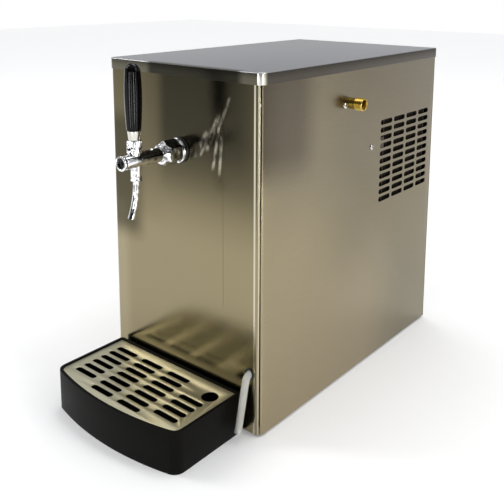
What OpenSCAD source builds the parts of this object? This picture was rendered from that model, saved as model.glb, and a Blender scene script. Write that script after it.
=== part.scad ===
// Countertop one-tap water cooler: stainless cabinet over an ice-bank bath,
// a lever tap with a curved spout, and a loose drip tray in front.
// Millimetres, +Z up, Z = 0 on the counter, -Y towards the user.

/* [Cabinet] */
// Width over the top cover
cover_w = 260; // [230:1:330]
// Depth over the top cover
cover_d = 425; // [400:1:520]
// Height from the counter to the top of the cover
total_h = 440; // [430:1:540]
// Height of the cover's turned-down skirt
skirt_h = 14; // [8:1:20]
// Thickness of the stainless sheet
sheet_t = 1; // [0.8:0.1:1.5]
// Gap between the skirt and the panels
cover_gap = 0.4; // [0.3:0.1:1]
// Outer radius of the cover's front corners
corner_r = 10; // [6:0.5:12]
// Width of the seam between front and side panels
seam_gap = 0.7; // [0.4:0.1:1.2]
// Height of the rubber feet
foot_h = 6; // [4:1:12]
// Radius of a rubber foot
foot_r = 13; // [10:1:18]

/* [Side vents] */
// Number of slot columns
vent_cols = 4; // [2:1:4]
// Number of slot rows
vent_rows = 11; // [4:1:11]
// Length of one vent slot
vent_len = 32; // [20:1:34]
// Width of one vent slot
vent_w = 7; // [4:0.5:8]
// Column pitch
vent_pitch_y = 36.8; // [35:0.1:38]
// Row pitch
vent_pitch_z = 11.1; // [9:0.1:12]

/* [Water inlet] */
// Outside radius of the inlet thread
inlet_r = 8.33; // [6.5:0.01:10.5]
// Length of the inlet thread
inlet_thread_len = 12; // [8:1:16]
// Length of the plain neck behind the thread
inlet_neck_len = 8.4; // [4:0.2:12]
// Radius of the water way
inlet_bore_r = 5.5; // [3:0.5:5.5]

/* [Tap] */
// Distance from the top of the cover to the tap's axis
tap_drop = 105; // [95:1:118]
// Outside radius of the tap's barrel
barrel_r = 8.75; // [8.5:0.05:9.5]
// Distance of the lever behind the tap's front end
lever_back = 21; // [20:1:24]
// Reach of the tap in front of the cover
tap_reach = 92; // [88:1:110]
// Length of the grip
grip_len = 78; // [60:1:100]
// Largest radius of the grip
grip_r = 10.2; // [9:0.1:13]
// Outside radius of the spout tube
spout_r = 4; // [3.5:0.1:4.5]
// Height of the spout's mouth below the tap's axis
spout_drop = 67; // [50:1:90]

/* [Drip tray] */
// Width of the tray
tray_w = 217; // [190:1:226]
// Depth of the tray at its middle
tray_d = 122; // [100:1:150]
// Height of the tray
tray_h = 52; // [35:1:60]
// Wall of the tray
tray_wall = 4.2; // [3:0.2:6]
// How far the front edge bows out
tray_bow = 15; // [6:1:25]
// Radius of the tray's front corners
tray_corner_r = 14; // [8:1:20]
// Thickness of the drip plate
plate_t = 1.2; // [0.8:0.1:2]
// Length of a drip slot
slot_len = 37; // [25:1:42]
// Width of a drip slot
slot_w = 8; // [4:0.5:9]

/* [Cooling bath] */
// Wall of the insulation
foam_t = 22; // [15:1:30]
// Outside width of the bath
bath_w = 216; // [190:1:216]
// Outside depth of the bath
bath_d = 206; // [190:1:206]
// Outside height of the bath
bath_h = 286; // [240:1:286]

/* [Hidden] */
$fn = 64;
eps = 0.01;
fine = 96;
coarse = 32;

// ---- cabinet frame: x = 0 on the mid plane, y = 0 on the cover's front face ----
inset = sheet_t + cover_gap;
body_w = cover_w - 2 * inset;
body_front = inset;
body_back = cover_d - inset;
body_r = corner_r - inset;
panel_z = 3;
panel_top = total_h - sheet_t;
panel_h = panel_top - panel_z;
inner_x = body_w / 2 - sheet_t;
inner_front = body_front + sheet_t;
flange_w = 15;
back_inner = body_back - 2 * sheet_t;
rear_corner_r = 2;
pan_t = 1.5;
pan_top = foot_h + pan_t;
pan_rim = 14;
corner_zone = corner_r + 2;

// ---- mains and control ----
power_x = 70;
power_z = 60;
knob_x = -80;
knob_z = total_h - 70;
spindle_r = 3;

// ---- fasteners ----
screw_r = 1.95;
screw_hole_r = 2.1;
screw_head_r = 3.9;
screw_head_h = 2.2;
screw_len = 6;
cross_len = 4;
cross_w = 0.8;
cross_deep = 1.2;
rear_screw_z = [40, total_h / 2, total_h - 50];
foot_x = cover_w / 2 - 30;
foot_y = [34, cover_d - 34];

// ---- inlet and side screws, measured from the top and the back ----
inlet_y = cover_d - 240;
inlet_z = total_h - 56;
inlet_neck_r = inlet_r - 1.1;
side_screw_gap = 4.67;
side_screw_at = [
  [inlet_y - inlet_r - side_screw_gap, inlet_z - 2],
  [cover_d - 183.5, total_h - 124.6]
];
bracket_t = 1.5;
bracket_half = 18;
nut_t = 6;
hex_af = 22;
tail_len = 34;

// ---- vents ----
vent_y = cover_d - 89;
vent_z = total_h - 149.3;

// ---- tap ----
tap_z = total_h - tap_drop;
lever_y = lever_back - tap_reach;
gasket_t = 2;
flange_r = 15.6;
flange_len = 5;
shank_r = 10;
shank_bore_r = 4;
shank_back = 38;
coupling_front = -31;
coupling_af = 27.5;
coupling_chamfer = 0.9;
tail_r = 9.7;
seat_y = lever_y + 26;
chamber_r = 6;
plunger_r = chamber_r - 0.05;
pivot_up = 10;
pivot_z = tap_z + pivot_up;
ball_r = 4.6;
ball_gap = 0.2;
dome_r = 9.8;
dome_gap = 0.4;
ring_r = 8.7;
ring_top = pivot_z + 14;
stem_r = 2.5;
slot_gap = 0.5;
arm_r = 2;
tip_r = 2.9;
tip_gap = 0.35;
slot_flare = 6;
pull_deg = 30;
ferrule_h = 11;
grip_z = ring_top + ferrule_h;
grip_foot_r = 8.4;
grip_widest = 0.62;
grip_taper = 1.1;
dome_h = grip_r;
grip_body = grip_len - dome_h;
neck_r = 6.6;
neck_bore_r = 4.9;
socket_r = 6.6;
socket_h = 24;
spout_y = lever_y + 2;
spout_wall = 1;
spout_deg = 24;
sleeve_h = 12;
sleeve_extra = 0.3;
spout_bend_r = (spout_drop - socket_h) / sin(spout_deg);
hex_factor = 2 / sqrt(3);

// ---- tray ----
tray_gap = 3.4;
tray_back = body_front - tray_gap;
tray_side_gap = 6.5;
hose_x = cover_w / 2 - 17;
hose_r = 4.5;
tray_x = hose_x - hose_r - tray_side_gap - tray_w / 2;
tray_rear_r = 5;
ledge_w = 3;
plate_gap = 0.4;
plate_seat = tray_h - 2.6;
tray_floor = 2.5;
plate_edge = tray_wall + plate_gap;
bow_r = (pow(tray_w / 2, 2) + pow(tray_bow, 2)) / (2 * tray_bow);
bow_y = tray_back - tray_d + bow_r;
slot_pitch_x = 48.4;
slot_pitch_y = 13.5;
slot_first = -22;
slot_rows = [[0, 5], [0, 6], [0, 6], [2, 5]];
finger_r = 10.5;
finger_at = [tray_w / 2 - 24.1, -28.5];

// ---- drain hose, in the plane x = hose_x ----
grommet_z = 79;
grommet_r = 7;
grommet_neck_r = 6;
grommet_lip = 1.6;
hose_tilt = 20;
hose_start_y = body_front + 0.6;
hose_turn_y = -5;
hose_end = [hose_x, -19.8, 12.8];
hose_bend_r = 9;
drain_x = 80;
drain_z = 96;
drain_start_y = body_front + 0.7;
drain_rise_y = 12;

// ---- bath ----
bath_y = 26;
bath_z = pan_top;
bath_mid_y = bath_y + bath_d / 2;
liner_t = 1;
lid_t = 16;
lid_z = bath_z + bath_h + liner_t;
lid_top = lid_z + lid_t;
pipe_r = 4;
coil_gap = 8;
evap_r = bath_d / 2 - foam_t - liner_t - coil_gap - pipe_r;
product_r = evap_r - 2 * pipe_r - 10;
coil_z = bath_z + foam_t + liner_t + 14;
coil_h = bath_h - foam_t - 110;
impeller_r = product_r - pipe_r - 12;
agitator_r = 32;
sweep_step = 6;
sweep_lift = 1.3;
riser_deg = 26;
riser_lift = 30;
riser_top = lid_top + 14;
evap_turns = 7.5;
evap_riser = on_ring(evap_r, 360 * evap_turns + riser_deg);
product_turns = 11.25;
product_riser = on_ring(product_r, 360 * product_turns + riser_deg);
supply_r = pipe_r - 1.1;
supply_at = [product_r + pipe_r + supply_r + 0.1, bath_mid_y];

// ---- machine compartment ----
fan_y = vent_y;
fan_z = vent_z;
fan_r = 52;
condenser_x = inner_x - 25;
condenser_half_y = 74;
condenser_half_z = 64;
condenser_rows = 6;
condenser_pitch = 20;
condenser_r = 3.5;
compressor_x = -40;
compressor_y = cover_d - 90;
compressor_r = 62;
compressor_h = 130;
compressor_z = pan_top + 16;
mount_x = [-62, 62];
mount_y = [-50, 50];

// ---- frame offset: origin under the middle of the whole outline ----
inlet_out = inlet_neck_len + inlet_thread_len - inset;
knob_h = 14;
rear_out = knob_h - inset;
mid_x = -inlet_out / 2;
front_y = (tray_d - tray_back - cover_d - rear_out) / 2;

module placed() {
  translate([mid_x, front_y, 0]) children();
}

// ---- helpers ----
function unit(v) = v / norm(v);
function at_height(p, z) = [p[0], p[1], z];
// Point on a ring round the bath's upright axis
function on_ring(r, a) = [r * cos(a), bath_mid_y + r * sin(a)];
function tangent(p, i) = unit(p[min(i + 1, len(p) - 1)] - p[max(i - 1, 0)]);
function side_of(t) = unit(cross(t, abs(t[2]) < 0.9 ? [0, 0, 1] : [1, 0, 0]));
function carried(n, t) = unit(n - (n * t) * t);
function normals(p) = [
  for (i = 0, n = side_of(tangent(p, 0)); i < len(p); i = i + 1,
       n = carried(n, tangent(p, min(i, len(p) - 1)))) n
];
// Points on a path whose corners are rounded with radius r in the given steps
function bend(a, b, c, r, steps) =
  let (u = unit(b - a), v = unit(c - b), turn = acos(u * v), w = carried(v, u),
       start = b - u * r * tan(turn / 2), centre = start + w * r)
  [for (k = [0:steps]) centre + r * (sin(turn * k / steps) * u - cos(turn * k / steps) * w)];
function bent(p, r, steps = 5) = [
  p[0],
  for (i = [1:len(p) - 2]) each bend(p[i - 1], p[i], p[i + 1], r, steps),
  p[len(p) - 1]
];

// A solid round tube swept along path p
module swept(p, r, sides = 10) {
  n = normals(p);
  last = len(p) - 1;
  points = [
    for (i = [0:last]) let (t = tangent(p, i), b = cross(t, n[i]))
      for (k = [0:sides - 1]) p[i] + r * (cos(360 * k / sides) * n[i] + sin(360 * k / sides) * b)
  ];
  walls = [
    for (i = [0:last - 1], k = [0:sides - 1])
      [i * sides + k, (i + 1) * sides + k,
       (i + 1) * sides + (k + 1) % sides, i * sides + (k + 1) % sides]
  ];
  cap_a = [for (k = [0:sides - 1]) k];
  cap_b = [for (k = [sides - 1:-1:0]) last * sides + k];
  polyhedron(points = points, faces = concat(walls, [cap_a, cap_b]), convexity = 8);
}

// Cylinder between y values, on an axis parallel to Y
module rod_y(r, y0, y1, x = 0, z = 0, r2 = -1) {
  translate([x, y0, z]) rotate([-90, 0, 0]) cylinder(h = y1 - y0, r1 = r, r2 = r2 < 0 ? r : r2);
}

// Cylinder between x values, on an axis parallel to X
module rod_x(r, x0, x1, y = 0, z = 0) {
  translate([x0, y, z]) rotate([0, 90, 0]) cylinder(h = x1 - x0, r = r);
}

// Hexagon prism between y values
module hex_y(af, y0, y1, z) {
  translate([0, y0, z]) rotate([-90, 0, 0]) cylinder(h = y1 - y0, r = af * hex_factor / 2, $fn = 6);
}

module block(x, y, z) {
  translate([x[0], y[0], z[0]]) cube([x[1] - x[0], y[1] - y[0], z[1] - z[0]]);
}

module stadium(length, width) {
  square([length - width, width], center = true);
  for (s = [-1, 1]) translate([s * (length - width) / 2, 0]) circle(d = width, $fn = coarse);
}

// Plan of the cover: rounded front corners, near-square rear corners
module plan(w, d, rf, rb) {
  translate([-w / 2, rf]) square([w, d - rf - rb]);
  translate([-w / 2 + rf, 0]) square([w - 2 * rf, rf + 1]);
  translate([-w / 2 + rb, d - rb - 1]) square([w - 2 * rb, rb + 1]);
  for (s = [-1, 1]) {
    translate([s * (w / 2 - rf), rf]) circle(r = rf);
    translate([s * (w / 2 - rb), d - rb]) circle(r = rb, $fn = coarse);
  }
}

// Screw with its head outwards along +X
module screw_x(length) {
  rotate([0, 90, 0]) difference() {
    rotate_extrude() polygon([
      [0, -length], [screw_r, -length], [screw_r, 0], [screw_head_r, 0],
      [screw_head_r, screw_head_h * 0.35], [screw_head_r * 0.84, screw_head_h * 0.72],
      [screw_head_r * 0.52, screw_head_h * 0.94], [screw_head_r * 0.2, screw_head_h], [0, screw_head_h]
    ]);
    for (a = [0, 90]) rotate([0, 0, a])
      translate([0, 0, screw_head_h]) cube([cross_len, cross_w, 2 * cross_deep], center = true);
  }
}

// ---- cabinet ----
// Half of a rounded upright corner with its inward fold, centred on the corner's axis
module half_corner() {
  k = seam_gap / sqrt(2);
  fold = sheet_t * sqrt(2);
  far = 2 * body_r;
  intersection() {
    difference() {
      circle(r = body_r);
      circle(r = body_r - sheet_t);
    }
    polygon([[0, -k], [0, -far], [far - k, -far]]);
  }
  intersection() {
    circle(r = body_r - sheet_t / 2);
    polygon([[0, -k], [0, -k - fold], [far - k - fold, -far], [far - k, -far]]);
  }
}

module at_corner() {
  translate([body_w / 2 - body_r, body_front + body_r]) children();
}

module both_sides() {
  children();
  mirror([1, 0, 0]) children();
}

module at_feet() {
  for (x = [-foot_x, foot_x], y = foot_y) translate([x, y, 0]) children();
}

module base_pan() {
  front_x = inner_x - corner_zone;
  floor = [foot_h, pan_top];
  rim = [foot_h, foot_h + pan_rim];
  color("silver") placed() difference() {
    union() {
      block([-inner_x, inner_x], [corner_zone, back_inner], floor);
      block([-front_x, front_x], [inner_front, corner_zone + eps], floor);
      both_sides() block([inner_x - pan_t, inner_x], [corner_zone, back_inner], rim);
      block([-front_x, front_x], [inner_front, inner_front + pan_t], rim);
      block([-inner_x, inner_x], [back_inner - pan_t, back_inner], rim);
    }
    at_feet() cylinder(h = pan_top + 1, r = screw_hole_r);
  }
}

module rubber_feet() {
  color("dimgray") placed() at_feet() difference() {
    union() {
      cylinder(h = 1.5, r1 = foot_r - 1, r2 = foot_r);
      translate([0, 0, 1.5]) cylinder(h = foot_h - 1.5, r = foot_r);
    }
    translate([0, 0, -1]) cylinder(h = foot_h + 2, r = screw_hole_r);
    translate([0, 0, -1]) cylinder(h = 1 + foot_h / 2, r = screw_head_r + 0.4);
  }
}

module foot_screws() {
  color("silver") placed() at_feet()
    translate([0, 0, foot_h / 2]) rotate([0, 90, 0]) screw_x(foot_h / 2 + pan_t);
}

module front_panel() {
  color("darkkhaki") placed() difference() {
    translate([0, 0, panel_z]) linear_extrude(height = panel_h) {
      translate([-body_w / 2 + body_r, body_front]) square([body_w - 2 * body_r, sheet_t]);
      both_sides() at_corner() half_corner();
    }
    rod_y(shank_r + 0.2, body_front - 1, inner_front + 1, 0, tap_z);
    rod_y(grommet_neck_r, body_front - 1, inner_front + 1, hose_x, grommet_z);
  }
}

// Side panel without its holes, on the right
module side_sheet() {
  translate([0, 0, panel_z]) linear_extrude(height = panel_h) {
    at_corner() mirror([1, 1, 0]) half_corner();
    translate([inner_x, body_front + body_r]) square([sheet_t, back_inner + sheet_t - body_front - body_r]);
    translate([body_w / 2 - flange_w, back_inner]) square([flange_w, sheet_t]);
  }
}

module vent_slots() {
  for (i = [0:vent_cols - 1], j = [0:vent_rows - 1])
    translate([inner_x - 1, vent_y + (i - (vent_cols - 1) / 2) * vent_pitch_y,
               vent_z + (j - (vent_rows - 1) / 2) * vent_pitch_z])
      rotate([90, 0, 90]) linear_extrude(height = sheet_t + 2) stadium(vent_len, vent_w);
}

module flange_holes() {
  for (z = rear_screw_z) rod_y(screw_hole_r, back_inner - 1, body_back + 1, body_w / 2 - flange_w / 2 - 1, z);
}

module side_panel_left() {
  color("darkkhaki") placed() mirror([1, 0, 0]) difference() {
    side_sheet();
    vent_slots();
    flange_holes();
  }
}

module side_panel_right() {
  color("darkkhaki") placed() difference() {
    side_sheet();
    vent_slots();
    flange_holes();
    rod_x(inlet_neck_r + 0.2, inner_x - 1, body_w / 2 + 1, inlet_y, inlet_z);
    for (p = side_screw_at) rod_x(screw_hole_r, inner_x - 1, body_w / 2 + 1, p[0], p[1]);
  }
}

module rear_panel() {
  color("darkkhaki") placed() difference() {
    block([-body_w / 2, body_w / 2], [back_inner + sheet_t, body_back], [panel_z, panel_top]);
    both_sides() flange_holes();
    block([power_x - 14, power_x + 14], [back_inner, body_back + 1], [power_z - 10.2, power_z + 10.2]);
    rod_y(spindle_r + 0.6, back_inner, body_back + 1, knob_x, knob_z);
    for (s = [-1, 1]) rod_y(screw_hole_r, back_inner, cover_d + 1, s * cover_w / 4, total_h - skirt_h / 2);
  }
}

module top_cover() {
  color("lightsteelblue") placed() difference() {
    translate([0, 0, total_h - skirt_h]) linear_extrude(height = skirt_h)
      plan(cover_w, cover_d, corner_r, rear_corner_r);
    translate([0, sheet_t, total_h - skirt_h - 1]) linear_extrude(height = skirt_h + 1 - sheet_t)
      plan(cover_w - 2 * sheet_t, cover_d - 2 * sheet_t, corner_r - sheet_t, rear_corner_r - sheet_t);
    for (s = [-1, 1]) rod_y(screw_hole_r, body_back - 1, cover_d + 1, s * cover_w / 4, total_h - skirt_h / 2);
  }
}

// Screws that hold the rear panel to the side flanges and the cover to the rear panel
module panel_screws() {
  color("silver") placed() {
    both_sides() for (z = rear_screw_z)
      translate([body_w / 2 - flange_w / 2 - 1, body_back, z]) rotate([0, 0, 90]) screw_x(screw_len);
    for (s = [-1, 1])
      translate([s * cover_w / 4, cover_d, total_h - skirt_h / 2]) rotate([0, 0, 90]) screw_x(screw_len);
  }
}

module side_screws() {
  color("silver") placed() for (p = side_screw_at)
    translate([body_w / 2, p[0], p[1]]) screw_x(screw_len);
}

// ---- water inlet ----
module inlet_fitting() {
  thread_x = body_w / 2 + inlet_neck_len;
  color("goldenrod") placed() difference() {
    union() {
      rod_x(inlet_neck_r, inner_x - tail_len / 2, thread_x, inlet_y, inlet_z);
      rod_x(inlet_r, thread_x, thread_x + inlet_thread_len, inlet_y, inlet_z);
      rod_x(pipe_r + 1, inner_x - tail_len, inner_x, inlet_y, inlet_z);
    }
    rod_x(inlet_bore_r, inner_x - tail_len / 2 + 2, body_w / 2 + 50, inlet_y, inlet_z);
    rod_x(pipe_r - 1, inner_x - tail_len - 1, inner_x, inlet_y, inlet_z);
  }
}

module inlet_nut() {
  x = inner_x - bracket_t - nut_t;
  color("goldenrod") placed() translate([x, inlet_y, inlet_z]) rotate([0, 90, 0]) difference() {
    cylinder(h = nut_t, r = hex_af * hex_factor / 2, $fn = 6);
    translate([0, 0, -1]) cylinder(h = nut_t + 2, r = inlet_neck_r + 0.05);
  }
}

module inlet_bracket() {
  color("silver") placed() difference() {
    block([inner_x - bracket_t, inner_x], [inlet_y - bracket_half - 4, inlet_y + bracket_half],
          [inlet_z - bracket_half, inlet_z + bracket_half]);
    rod_x(inlet_neck_r + 0.2, inner_x - 5, inner_x + 1, inlet_y, inlet_z);
    rod_x(screw_hole_r, inner_x - 5, inner_x + 1, side_screw_at[0][0], side_screw_at[0][1]);
  }
}

// ---- drain ----
// Point on the axis of the grommet's slanted bore
function on_bore(y) = [hose_x, y, grommet_z + (y - body_front) * tan(hose_tilt)];

module tilted_bore(r) {
  translate([hose_x, body_front, grommet_z]) rotate([-90 - hose_tilt, 0, 0])
    translate([0, 0, -20]) cylinder(h = 40, r = r);
}

module hose_grommet() {
  color("black") placed() difference() {
    union() {
      rod_y(grommet_r, body_front - grommet_lip, body_front, hose_x, grommet_z);
      rod_y(grommet_neck_r, body_front - eps, inner_front + eps, hose_x, grommet_z);
      rod_y(grommet_r, inner_front, inner_front + grommet_lip, hose_x, grommet_z);
    }
    tilted_bore(hose_r + 0.1);
  }
}

module drain_hose() {
  path = [on_bore(hose_start_y), on_bore(hose_turn_y), hose_end];
  color("lightcyan") placed() swept(bent(path, hose_bend_r, 7), hose_r, 12);
}

module drain_tube() {
  color("lightcyan") placed() swept(bent([
    on_bore(drain_start_y), on_bore(drain_rise_y),
    [drain_x, 13, drain_z], [drain_x, bath_y + foam_t + liner_t, drain_z]
  ], 9, 4), hose_r, 10);
}

// ---- mains and control ----
module power_inlet() {
  color("black") placed() translate([power_x, body_back, power_z]) difference() {
    union() {
      block([-25, 25], [0, 2], [-12, 12]);
      block([-13.5, 13.5], [-24, eps], [-9.8, 9.8]);
    }
    block([-11.8, 11.8], [-16, 3], [-8, 8]);
    for (s = [-1, 1]) rod_y(1.7, -1, 3, s * 20, 0);
  }
}

module power_pins() {
  color("silver") placed() translate([power_x, body_back, power_z]) {
    for (s = [-1, 1]) block([s * 7 - 1, s * 7 + 1], [-16, -2], [-4, 0]);
    block([-1, 1], [-16, -2], [1, 5]);
  }
}

module thermostat() {
  color("gray") placed() difference() {
    block([knob_x - 18, knob_x + 18], [back_inner - 24, back_inner + sheet_t],
          [knob_z - 14, knob_z + 14]);
    rod_y(spindle_r + 0.05, back_inner - 20, back_inner + 2, knob_x, knob_z);
  }
}

module thermostat_knob() {
  color("black") placed() difference() {
    union() {
      rod_y(spindle_r, back_inner - 18, body_back + 2, knob_x, knob_z);
      rod_y(12, body_back + 1, body_back + knob_h, knob_x, knob_z, 10.5);
      rod_y(14, body_back + 0.5, body_back + 3, knob_x, knob_z);
    }
    block([knob_x - 0.6, knob_x + 0.6], [body_back + knob_h - 1, body_back + knob_h + 1],
          [knob_z + 2, knob_z + 12]);
  }
}

// ---- bath ----
module bath_insulation() {
  color("lightyellow") placed() difference() {
    block([-bath_w / 2, bath_w / 2], [bath_y, bath_y + bath_d], [bath_z, bath_z + bath_h]);
    block([-bath_w / 2 + foam_t, bath_w / 2 - foam_t], [bath_y + foam_t, bath_y + bath_d - foam_t],
          [bath_z + foam_t, bath_z + bath_h + 1]);
    rod_y(hose_r + 0.1, bath_y - 1, bath_y + foam_t + 1, drain_x, drain_z);
  }
}

module bath_liner() {
  lx = bath_w / 2 - foam_t;
  y0 = bath_y + foam_t;
  y1 = bath_y + bath_d - foam_t;
  color("silver") placed() difference() {
    union() {
      block([-lx, lx], [y0, y1], [bath_z + foam_t, bath_z + bath_h + liner_t]);
      block([-bath_w / 2, bath_w / 2], [bath_y, bath_y + bath_d], [bath_z + bath_h, lid_z]);
    }
    block([-lx + liner_t, lx - liner_t], [y0 + liner_t, y1 - liner_t],
          [bath_z + foam_t + liner_t, bath_z + bath_h + liner_t + 1]);
    rod_y(hose_r + 0.1, y0 - 1, y0 + liner_t + 1, drain_x, drain_z);
  }
}

// Helix that ends in an upright riser at the same radius
function helix(r, z0, pitch, turns, top, per_turn = 20) =
  let (n = turns * per_turn, end_z = z0 + pitch * turns, last = 360 * turns)
  concat(
    [for (i = [0:n]) at_height(on_ring(r, 360 * i / per_turn), z0 + pitch * i / per_turn)],
    [for (k = [1:4]) at_height(on_ring(r, last + k * sweep_step), end_z + pow(k, 2) * sweep_lift)],
    [for (z = [end_z + riser_lift, top]) at_height(on_ring(r, last + riser_deg), z)]
  );

module evaporator_coil() {
  color("peru") placed()
    swept(helix(evap_r, coil_z, coil_h / evap_turns, evap_turns, riser_top), pipe_r, 8);
}

module product_coil() {
  color("lightgray") placed()
    swept(helix(product_r, coil_z, coil_h / product_turns, product_turns, riser_top), pipe_r, 8);
}

module bath_lid() {
  color("lightyellow") placed() difference() {
    block([-bath_w / 2, bath_w / 2], [bath_y, bath_y + bath_d], [lid_z, lid_top]);
    for (p = [evap_riser, product_riser])
      translate(at_height(p, lid_z - 1)) cylinder(h = lid_t + 2, r = pipe_r + 0.5);
    translate(at_height(supply_at, lid_z - 1)) cylinder(h = lid_t + 2, r = supply_r + 0.5);
    translate([0, bath_mid_y, lid_z - 1]) cylinder(h = lid_t + 2, r = 7);
  }
}

module agitator_motor() {
  color("gray") placed() translate([0, bath_mid_y, lid_top]) difference() {
    union() {
      cylinder(h = 6, r = agitator_r);
      translate([0, 0, 6]) cylinder(h = 50, r = agitator_r - 5);
    }
    translate([0, 0, -1]) cylinder(h = 40, r = 4.05);
  }
}

module agitator_impeller() {
  low = coil_z + 40;
  color("whitesmoke") placed() translate([0, bath_mid_y, 0]) {
    translate([0, 0, low]) cylinder(h = lid_top + 30 - low, r = 4);
    translate([0, 0, low]) cylinder(h = 18, r = 9);
    for (a = [0:90:270]) rotate([0, 0, a]) translate([impeller_r / 2, 0, low + 9]) rotate([30, 0, 0])
      cube([impeller_r, 2, 14], center = true);
  }
}

module supply_tube() {
  color("whitesmoke") placed() swept(bent([
    [inner_x - tail_len, inlet_y, inlet_z], [supply_at[0], inlet_y, inlet_z],
    [supply_at[0], inlet_y, riser_top], [supply_at[0], supply_at[1], riser_top],
    [supply_at[0], supply_at[1], coil_z]
  ], 10, 5), supply_r, 10);
}

module feed_tube() {
  run_x = -agitator_r - 16;
  run_z = riser_top + 24;
  turn_y = shank_back + 28;
  color("whitesmoke") placed() swept(bent([
    [product_riser[0], product_riser[1], riser_top], [product_riser[0], product_riser[1], run_z],
    [run_x, product_riser[1], run_z], [run_x, turn_y, tap_z], [0, turn_y, tap_z], [0, shank_back, tap_z]
  ], 8, 4), pipe_r - 0.5, 10);
}

// ---- refrigeration ----
module compressor() {
  color("black") placed() translate([compressor_x, compressor_y, compressor_z]) difference() {
    union() {
      cylinder(h = compressor_h - 20, r = compressor_r);
      translate([0, 0, compressor_h - 20]) cylinder(h = 12, r1 = compressor_r, r2 = compressor_r - 10);
      translate([0, 0, compressor_h - 8]) cylinder(h = 8, r1 = compressor_r - 10, r2 = compressor_r - 30);
      translate([0, 0, 40]) cylinder(h = 4, r = compressor_r + 3);
      block([-72, 72], [-60, 60], [-4, 0]);
    }
    translate([0, 0, 5]) cylinder(h = compressor_h - 26, r = compressor_r - 5);
    for (x = mount_x, y = mount_y) translate([x, y, -5]) cylinder(h = 6, r = 5.2);
  }
}

module compressor_mounts() {
  color("dimgray") placed() translate([compressor_x, compressor_y, pan_top])
    for (x = mount_x, y = mount_y) translate([x, y, 0]) difference() {
      union() {
        cylinder(h = 12, r = 9);
        cylinder(h = 20, r = 5);
      }
      translate([0, 0, -1]) cylinder(h = 22, r = 3);
    }
}

module start_relay() {
  color("black") placed() translate([compressor_x, compressor_y, compressor_z])
    block([compressor_r + 0.1, compressor_r + 28], [-24, 24], [50, 96]);
}

module discharge_pipe() {
  color("peru") placed() swept(bent([
    [compressor_x + 20, compressor_y + 20, compressor_z + compressor_h],
    [compressor_x + 20, compressor_y + 20, fan_z - condenser_half_z - 4],
    [condenser_x + 12, compressor_y + 20, fan_z - condenser_half_z - 4],
    [condenser_x + 12, fan_y + condenser_half_y - 20, fan_z - condenser_half_z - 4]
  ], 10, 4), 3, 8);
}

module suction_pipe() {
  color("peru") placed() swept(bent([
    [evap_riser[0], evap_riser[1], riser_top], [evap_riser[0], evap_riser[1], riser_top + 40],
    [evap_riser[0], bath_y + bath_d + 14, riser_top + 40],
    [compressor_x - 20, bath_y + bath_d + 20, compressor_z + compressor_h + 30],
    [compressor_x - 20, compressor_y, compressor_z + compressor_h + 30],
    [compressor_x - 20, compressor_y, compressor_z + compressor_h]
  ], 9, 4), pipe_r, 8);
}

function row_z(j) = (j - (condenser_rows - 1) / 2) * condenser_pitch;

module tube_holes() {
  for (j = [0:condenser_rows - 1])
    translate([0, row_z(j)]) circle(r = condenser_r + 0.1, $fn = coarse);
}

// Straight tube rows joined by return bends at alternate ends
module condenser_tubes() {
  run = condenser_half_y - 12;
  bend_r = condenser_pitch / 2;
  color("peru") placed() translate([condenser_x + 12, fan_y, fan_z]) {
    for (j = [0:condenser_rows - 1]) rod_y(condenser_r, -run, run, 0, row_z(j));
    for (j = [0:condenser_rows - 2])
      translate([0, (j % 2 == 0 ? 1 : -1) * run, (j + 1 - condenser_rows / 2) * condenser_pitch])
        rotate([90, 0, 90]) rotate([0, 0, j % 2 == 0 ? -90 : 90])
          rotate_extrude(angle = 180) translate([bend_r, 0]) circle(r = condenser_r, $fn = coarse);
  }
}

module condenser_fins() {
  fins = 25;
  span = 2 * (condenser_half_y - 18);
  color("silver") placed() for (i = [0:fins - 1])
    translate([condenser_x + 12, fan_y - span / 2 + span * i / (fins - 1) + 0.3, fan_z]) rotate([90, 0, 0])
      linear_extrude(height = 0.6) difference() {
        square([22, 2 * condenser_half_z - 6], center = true);
        tube_holes();
      }
}

// End plates of the condenser, with the front one's tab screwed to the side panel
module condenser_brackets() {
  tab_y = side_screw_at[1][0];
  tab_z = side_screw_at[1][1];
  plate_y = condenser_half_y - 14;
  color("silver") placed() difference() {
    union() {
      for (s = [-1, 1]) translate([condenser_x + 12, fan_y + s * plate_y + 0.6, fan_z]) rotate([90, 0, 0])
        linear_extrude(height = 1.2) difference() {
          square([24, 2 * condenser_half_z], center = true);
          tube_holes();
        }
      block([inner_x - bracket_t, inner_x], [tab_y - 9, fan_y - plate_y], [tab_z - 9, tab_z + 9]);
    }
    rod_x(screw_hole_r, inner_x - 5, inner_x + 1, tab_y, tab_z);
  }
}

module fan_shroud() {
  color("gray") placed() difference() {
    union() {
      block([condenser_x - 2, condenser_x], [fan_y - condenser_half_y, fan_y + condenser_half_y],
            [fan_z - condenser_half_z, fan_z + condenser_half_z]);
      rod_x(fan_r + 6, condenser_x - 22, condenser_x - 1, fan_y, fan_z);
    }
    rod_x(fan_r + 4, condenser_x - 30, condenser_x + 1, fan_y, fan_z);
  }
}

module fan_motor() {
  color("silver") placed() difference() {
    union() {
      rod_x(26, condenser_x - 66, condenser_x - 32, fan_y, fan_z);
      for (a = [45:90:315]) translate([0, fan_y, fan_z]) rotate([a, 0, 0]) {
        block([condenser_x - 44, condenser_x - 41], [-6, 6], [20, fan_r + 6]);
        block([condenser_x - 44, condenser_x - 22], [-6, 6], [fan_r + 3.2, fan_r + 6]);
      }
    }
    rod_x(3.05, condenser_x - 50, condenser_x - 20, fan_y, fan_z);
  }
}

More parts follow.
